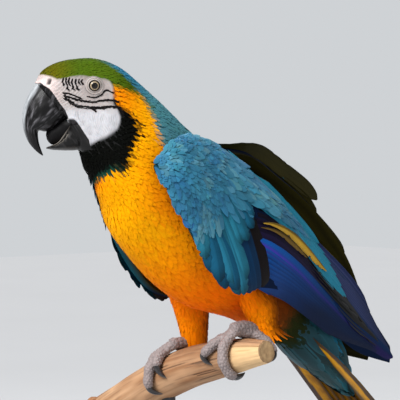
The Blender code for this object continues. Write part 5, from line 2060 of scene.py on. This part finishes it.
@dataclass
class Toe:
    """A toe round the branch and its claw: places along the branch and angles round it."""

    x: tuple[float, float]
    angle: tuple[float, float]
    claw: tuple[float, float]
    radii: tuple[float, ...] = (4.8, 5.3, 4.9, 5.3, 4.7, 4.9, 4.0)
    claw_radii: tuple[float, ...] = (3.4, 3.25, 2.7, 1.9, 0.35)
    bend: float = 6.0

    def path(self, branch: Branch) -> Array:
        """The toe's middle line."""
        count = len(self.radii)
        return branch.on(np.linspace(*self.x, count), np.linspace(*self.angle, count), np.array(self.radii))

    def claw_shape(self, branch: Branch) -> Shape:
        """The claw: a hook from the toe's end down to the bark, with a paler worn tip.

        It follows start (1 - t)^2 + middle 2t (1 - t) + tip t^2.

        Args:
            branch: what the toe grips.

        Returns:
            The claw's shape.
        """
        path = self.path(branch)
        along = unit(path[-1] - path[-2])
        tip = branch.on(np.array([self.claw[0]]), np.array([self.claw[1]]), 0.8)[0]
        t = np.linspace(0, 1, 30)[:, None]
        middle = path[-1] + along * self.bend
        line = (path[-1] - along) * (1 - t) ** 2 + middle * 2 * t * (1 - t) + tip * t**2
        radius = curve(self.claw_radii, t[:, 0] * 4)
        rows = np.hstack((line, np.maximum(radius, 0.2)[:, None]))
        points = Limb(rows).point(*net(np.linspace(0, 29, 30), full_turn(24)))
        wear = noise(points, 1.4, 91)
        tint = mixed(srgb(34, 31, 32), srgb(84, 78, 76),
                     np.clip(0.3 * wear + 0.5 * smooth(0.8, 1.0, t), 0, 1))
        return tube(points, tint)


@dataclass
class Foot:
    """One bare foot: shank, hub and four toes as one scaly skin, and the claws."""

    side: Side
    shank: tuple
    hub: Point
    toes: dict[str, Toe]
    voxel: float = 0.0008
    scale: float = 2.8

    def pads(self, toe: Toe, branch: Branch) -> Array:
        """Rows of a toe's tube from the hub on."""
        return np.vstack(((*self.hub, 5.0), np.column_stack((toe.path(branch), toe.radii))))

    def flesh(self, frame: BirdFrame, branch: Branch) -> tuple[bpy.types.Object, Array]:
        """Merges the foot's tubes by a voxel remesh.

        Args:
            frame: puts them in metres.
            branch: what the toes grip.

        Returns:
            The object, and the middles of its scales in metres.
        """
        parts, seeds = [], []
        rng = np.random.default_rng(400 + self.side.value)
        for rows in [np.array(self.shank, float)] + [self.pads(toe, branch) for toe in self.toes.values()]:
            limb, last = Limb(rows), len(rows) - 1
            parts.append(tube(limb.point(*net(np.linspace(0, last, 16 * last), full_turn(28)), -0.35)))
            run = np.linalg.norm(np.diff(rows[:, :3], axis=0), axis=1).sum()
            count = max(3, int(run / self.scale))
            i, j = net(np.linspace(0.1, last, count), np.arange(8) * math.pi / 4)
            j = j + (np.arange(count) % 2)[:, None] * math.pi / 8 + rng.normal(0, 0.08, i.shape)
            seeds.append(limb.point(i, j).reshape(-1, 3))
        obj = joined(parts).mesh(f"foot_{self.side.word}_skin", frame)
        remesh = obj.modifiers.new("merge", "REMESH")
        remesh.mode, remesh.voxel_size = "VOXEL", self.voxel
        soften = obj.modifiers.new("soften", "SMOOTH")
        soften.factor, soften.iterations = 0.5, 6
        bake_modifiers(obj)
        return obj, frame.metres(np.concatenate(seeds))

    def skin(self, frame: BirdFrame, branch: Branch) -> bpy.types.Object:
        """Covers the foot with rounded scales.

        A scale is highest at its middle, and grooves run where two middles are equally near.

        Args:
            frame: puts the foot in metres.
            branch: what the toes grip.

        Returns:
            The foot's object.
        """
        obj, middles = self.flesh(frame, branch)
        mesh = obj.data
        count = len(mesh.vertices)
        place, normal = np.empty(count * 3, np.float32), np.empty(count * 3, np.float32)
        mesh.vertices.foreach_get("co", place)
        mesh.vertex_normals.foreach_get("vector", normal)
        place, normal = place.reshape(-1, 3).astype(float), normal.reshape(-1, 3)
        nearest = np.empty((count, 2))
        for span in np.array_split(np.arange(count), max(1, count // 2000)):
            gap = np.linalg.norm(place[span, None] - middles, axis=-1)
            nearest[span] = np.sort(np.partition(gap, 1, axis=1)[:, :2], axis=1) / MM
        groove = smooth(1.0, 0.1, nearest[:, 1] - nearest[:, 0])
        height = 0.45 - 0.85 * groove - 0.06 * nearest[:, 0]
        place = place + normal * (height * MM)[:, None]
        mesh.vertices.foreach_set("co", place.astype(np.float32).ravel())
        shade = noise(place / MM, 3.0, 93) * 0.5 + noise(place / MM, 1.2, 94) * 0.3
        colour = mixed(srgb(186, 152, 134), srgb(118, 88, 76), np.clip(0.5 + shade, 0, 1))
        colour = mixed(colour, srgb(38, 28, 28), groove * 0.95)
        rgba = np.concatenate((colour, np.ones((count, 1))), axis=1).astype(np.float32)
        mesh.attributes.new("tint", "FLOAT_COLOR", "POINT").data.foreach_set("color", rgba.ravel())
        mesh.shade_smooth()
        SCALES.dress(obj)
        return obj


FEET = (Foot(Side.LEFT, ((40, 24, 12.2, 5.0), (39, 15, 12.5, 5.6), (38, 2, 15.5, 5.8),
                         (37.5, -10, 13.5, 6.8), (37, -13, 13, 6.0)), (37.3, -9.0, 13.0),
             {"inner": Toe((30, 8), (32, 74), (13, 106)), "middle": Toe((35, 30), (46, 158), (31, 198)),
              "outer": Toe((43, 60), (-26, -96), (60, -134)),
              "back": Toe((35, 20), (-30, -104), (18, -142))}),
        Foot(Side.RIGHT, ((-46, 15, -6.6, 4.8), (-47, 10, -6.2, 5.0), (-48.5, 2, -5.4, 5.2),
                          (-50.5, -6, -6.4, 6.2), (-51.5, -9, -7.6, 5.6)), (-51.0, -6.0, -6.2),
             {"inner": Toe((-49, -52), (38, 70), (-46, 104)),
              "middle": Toe((-54, -69), (36, 106), (-64, 140)),
              "outer": Toe((-48, -62), (-18, -98), (-64, -136)),
              "back": Toe((-45, -32), (-20, -104), (-31, -142))}))


@dataclass
class Stand:
    """The plain coated base with rounded edges, and the rod that carries the branch."""

    frame: BirdFrame
    corner: float = 10.0
    rim: float = 1.5
    rod: float = 7.0
    collar: float = 12.0
    bend: float = 35.0  # degrees from which an edge looks sharp

    def base(self) -> bpy.types.Object:
        """A flat slab: outlines with rounded corners, drawn in by the rim's radius at top and bottom.

        Returns:
            Its object.
        """
        low, high = (np.array(corner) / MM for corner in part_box("stand_base"))
        half, middle = (high - low) / 2, (high + low) / 2
        angle = full_turn(96)
        c, s = np.cos(angle), np.sin(angle)
        bend = np.radians(np.linspace(-90, 90, 12))
        low_rim = half[2] * -1 + self.rim * (1 + np.sin(bend[:6]))
        high_rim = half[2] - self.rim * (1 - np.sin(bend[6:]))
        heights = np.concatenate(([-half[2]] * 2, low_rim, high_rim, [half[2]] * 2))
        pulls = np.concatenate(([30.0, 8.0], self.rim * (1 - np.cos(bend)), [8.0, 30.0]))
        rings = []
        for pull, z in zip(pulls, heights):
            corner = max(self.corner - pull, 1.0)
            reach = half[:2] - pull - corner
            rings.append(np.stack((middle[0] + np.sign(np.round(c, 9)) * reach[0] + corner * c,
                                   middle[1] + np.sign(np.round(s, 9)) * reach[1] + corner * s,
                                   np.full_like(c, middle[2] + z)), -1))
        return tube(np.stack(rings) - self.frame.origin / MM).piece("base_plate", self.frame, METAL, self.bend)

    def post(self) -> bpy.types.Object:
        """The rod with a small turned collar on the base.

        Returns:
            Its object.
        """
        low, high = (np.array(corner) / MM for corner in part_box("stand_rod"))
        middle = (low + high) / 2
        foot = low[2]
        profile = np.array(((foot - 0.3, self.collar), (foot + 4.0, self.collar),
                            (foot + 5.2, self.collar - 1.2), (foot + 6.0, self.rod + 0.6),
                            (foot + 7.0, self.rod), (high[2], self.rod)))
        height, radius = profile[:, 0, None, None], profile[:, 1, None, None]
        angle = full_turn(64)
        ring = np.stack((np.cos(angle), np.sin(angle), 0 * angle), -1)
        grid = ring * radius + np.array((middle[0], middle[1], 0.0)) + UP * height
        return tube(grid - self.frame.origin / MM).piece("rod", self.frame, METAL, self.bend)


# ---- studio ----------------------------------------------------------------------------------------------
@dataclass
class Studio:
    """Pale floor and world, soft lights and the camera."""

    frame: BirdFrame
    azimuth: float = 48.0
    elevation: float = 2.0
    distance: float = 2.0
    aim: Point = (-9.30, -10.33, 130.4)
    width: float = 0.370

    def back(self, azimuth: float, elevation: float) -> Array:
        """Unit vector from the bird towards a viewer there."""
        a, e = math.radians(azimuth), math.radians(elevation)
        return np.array((math.cos(e) * math.sin(a), -math.cos(e) * math.cos(a), math.sin(e)))

    def placed(self, name: str, data: object, place: Array, target: Array) -> bpy.types.Object:
        """Links an object that looks at something, its Y axis up.

        Args:
            name: the object's name.
            data: its camera or light.
            place: where it stands.
            target: where its -Z axis points.

        Returns:
            The object.
        """
        made = bpy.data.objects.new(name, data)
        bpy.context.scene.collection.objects.link(made)
        back = unit(place - target)
        right = unit(np.cross(UP, back))
        matrix = np.eye(4)
        matrix[:3, :3] = np.stack((right, np.cross(back, right), back), axis=1)
        matrix[:3, 3] = place
        made.matrix_world = Matrix(matrix.tolist())
        return made

    def light(self, name: str, kind: str, azimuth: float, elevation: float, power: float,
              distance: float = 1.0, tone: Colour = (1.0, 1.0, 1.0), **size: float) -> None:
        """Adds a soft light that points at the bird.

        Args:
            name: the light's name.
            kind: AREA or SUN.
            azimuth, elevation: where it stands, in degrees.
            power: watts, or watts a square metre for a sun.
            distance: metres from the bird.
            tone: its colour.
            size: an area light's size in metres, or a sun's angle in radians.
        """
        data = bpy.data.lights.new(name, kind)
        for key, value in {"energy": power, "color": tone, **size}.items():
            setattr(data, key, value)
        target = self.frame.metres(np.array(self.aim))
        self.placed(name, data, target + self.back(azimuth, elevation) * distance, target)

    def make(self) -> None:
        """Sets the stage."""
        scene = bpy.context.scene
        scene.view_settings.view_transform = "Standard"
        target = self.frame.metres(np.array(self.aim))
        data = bpy.data.cameras.new("camera")
        data.sensor_width = 36.0
        data.lens = 36.0 * self.distance / self.width
        place = target + self.back(self.azimuth, self.elevation) * self.distance
        scene.camera = self.placed("camera", data, place, target)
        self.light("key", "SUN", 8, 40, 4.3, angle=math.radians(28))
        self.light("fill", "AREA", 80, 14, 6, 2.2, (0.93, 0.96, 1.0), size=1.6)
        self.light("rim", "AREA", -135, 45, 16, 1.8, size=0.9)
        self.light("top", "AREA", 40, 84, 8, 1.8, size=1.3)
        world = scene.world or bpy.data.worlds.new("world")
        scene.world = world
        world.use_nodes = True
        tree = Tree(world.node_tree)
        backdrop = world.node_tree.nodes["Background"].inputs
        backdrop["Color"].default_value = (0.84, 0.87, 0.90, 1.0)
        seen = tree.node("LightPath").outputs["Is Camera Ray"]
        strength = tree.node("MapRange", {0: seen, 3: 0.26, 4: 0.74}).outputs[0]
        world.node_tree.links.new(strength, backdrop["Strength"])
        corners = np.array(((-6000, -6000, 0), (6000, -6000, 0), (6000, 6000, 0), (-6000, 6000, 0)))
        corners = corners - self.frame.origin / MM
        floor = Shape(corners, [np.array([[0, 1, 2, 3]])]).mesh("floor", self.frame)
        FLOOR.dress(floor)


@dataclass
class Model:
    """The whole object: builds each sub-assembly and tells the frame what it stands for."""

    count: int = 0

    def put(self, piece: bpy.types.Object, slot: str, *nodes: str) -> None:
        """Rides a piece on the body.

        Args:
            piece: the object.
            slot: its slot; not used.
            nodes: the nodes that it stands for.
        """
        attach(piece, "root")
        if nodes:
            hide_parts(*nodes)
        triangles = len(piece.data.loops) - 2 * len(piece.data.polygons)
        self.count += triangles
        log.info("%s: %d triangles", piece.name, triangles)

    def head(self, body: Body, markings: Markings) -> None:
        """Skin, eyes, bill and face feathers.

        Args:
            body: the flesh's outline.
            markings: its colours.
        """
        self.put(Skin(body, markings).make(THIGHS), "gold_feathers", "head", "neck", "trunk", "thigh_left",
                 "thigh_right", "tail_coverts_upper", "tail_coverts_under")
        face_map = FaceMap(body)
        for side in Side:
            eye = Eye(body, face_map, side)
            self.put(eye.ball(), "eye", f"eye_{side.word}")
            self.put(eye.lids(), "gold_feathers")
            self.put(FaceStrokes(body, face_map, side).make(), "gold_feathers")
        bill = Bill(body)
        self.put(bill.make_upper(), "horn_black", "bill_upper")
        self.put(bill.make_lower(), "horn_black", "bill_lower")
        self.put(bill.make_tongue(), "tongue", "tongue")

    def plumage(self, body: Body, markings: Markings) -> None:
        """The coat, the wings and the tail.

        Args:
            body: the flesh's outline.
            markings: its colours.
        """
        coat = Coat(body, markings)
        for seed, patch in enumerate(coat.patches):
            slot = "green_feathers" if patch.name in ("head", "nape") else "gold_feathers"
            self.put(coat.make(patch, 70 + seed), slot)
        for thigh in THIGHS:
            self.put(thigh.coat(body.frame), "gold_feathers")
        self.put(Vent(body).make(), "blue_feathers")
        nodes = {"coverts": "coverts", "primaries": "flight", "tertials": "tertials"}
        tail = Tail(body.frame)
        for side in Side:
            for piece in Wing(side, body.frame).make():
                word = piece.name.split("_", 2)[2]
                slot = "violet_feathers" if word in ("primaries", "secondaries") else "blue_feathers"
                self.put(piece, slot, *([f"wing_{side.word}_{nodes[word]}"] if word in nodes else ()))
            for rank in range(len(tail.grades)):
                self.put(tail.blade(side, rank), "tail_feathers", f"tail_feather_{side.word}_{rank + 1}")

    def support(self, frame: BirdFrame) -> None:
        """Feet, claws, branch and stand.

        Args:
            frame: puts them in metres.
        """
        branch = Branch(frame)
        self.put(branch.make(), "branch_wood", "perch_branch")
        for foot in FEET:
            self.put(foot.skin(frame, branch), "foot_scales", f"foot_{foot.side.word}")
            for name, toe in foot.toes.items():
                claw = toe.claw_shape(branch).piece(f"claw_horn_{foot.side.word}_{name}", frame, CLAW)
                self.put(claw, "horn_black", f"claw_{foot.side.word}_{name}")
        stand = Stand(frame)
        self.put(stand.base(), "stand_metal", "stand_base")
        self.put(stand.post(), "stand_metal", "stand_rod")


def main() -> None:
    """Loads the frame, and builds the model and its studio."""
    logging.basicConfig(level=logging.INFO)
    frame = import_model()
    log.info("%d nodes to stand for", len(frame["nodes"]))
    make_groups()
    bird = BirdFrame()
    body, markings, model = Body(bird), Markings(), Model()
    model.head(body, markings)
    model.plumage(body, markings)
    model.support(bird)
    log.info("%d triangles in all", model.count)
    Studio(bird).make()


if __name__ == "__main__":
    main()
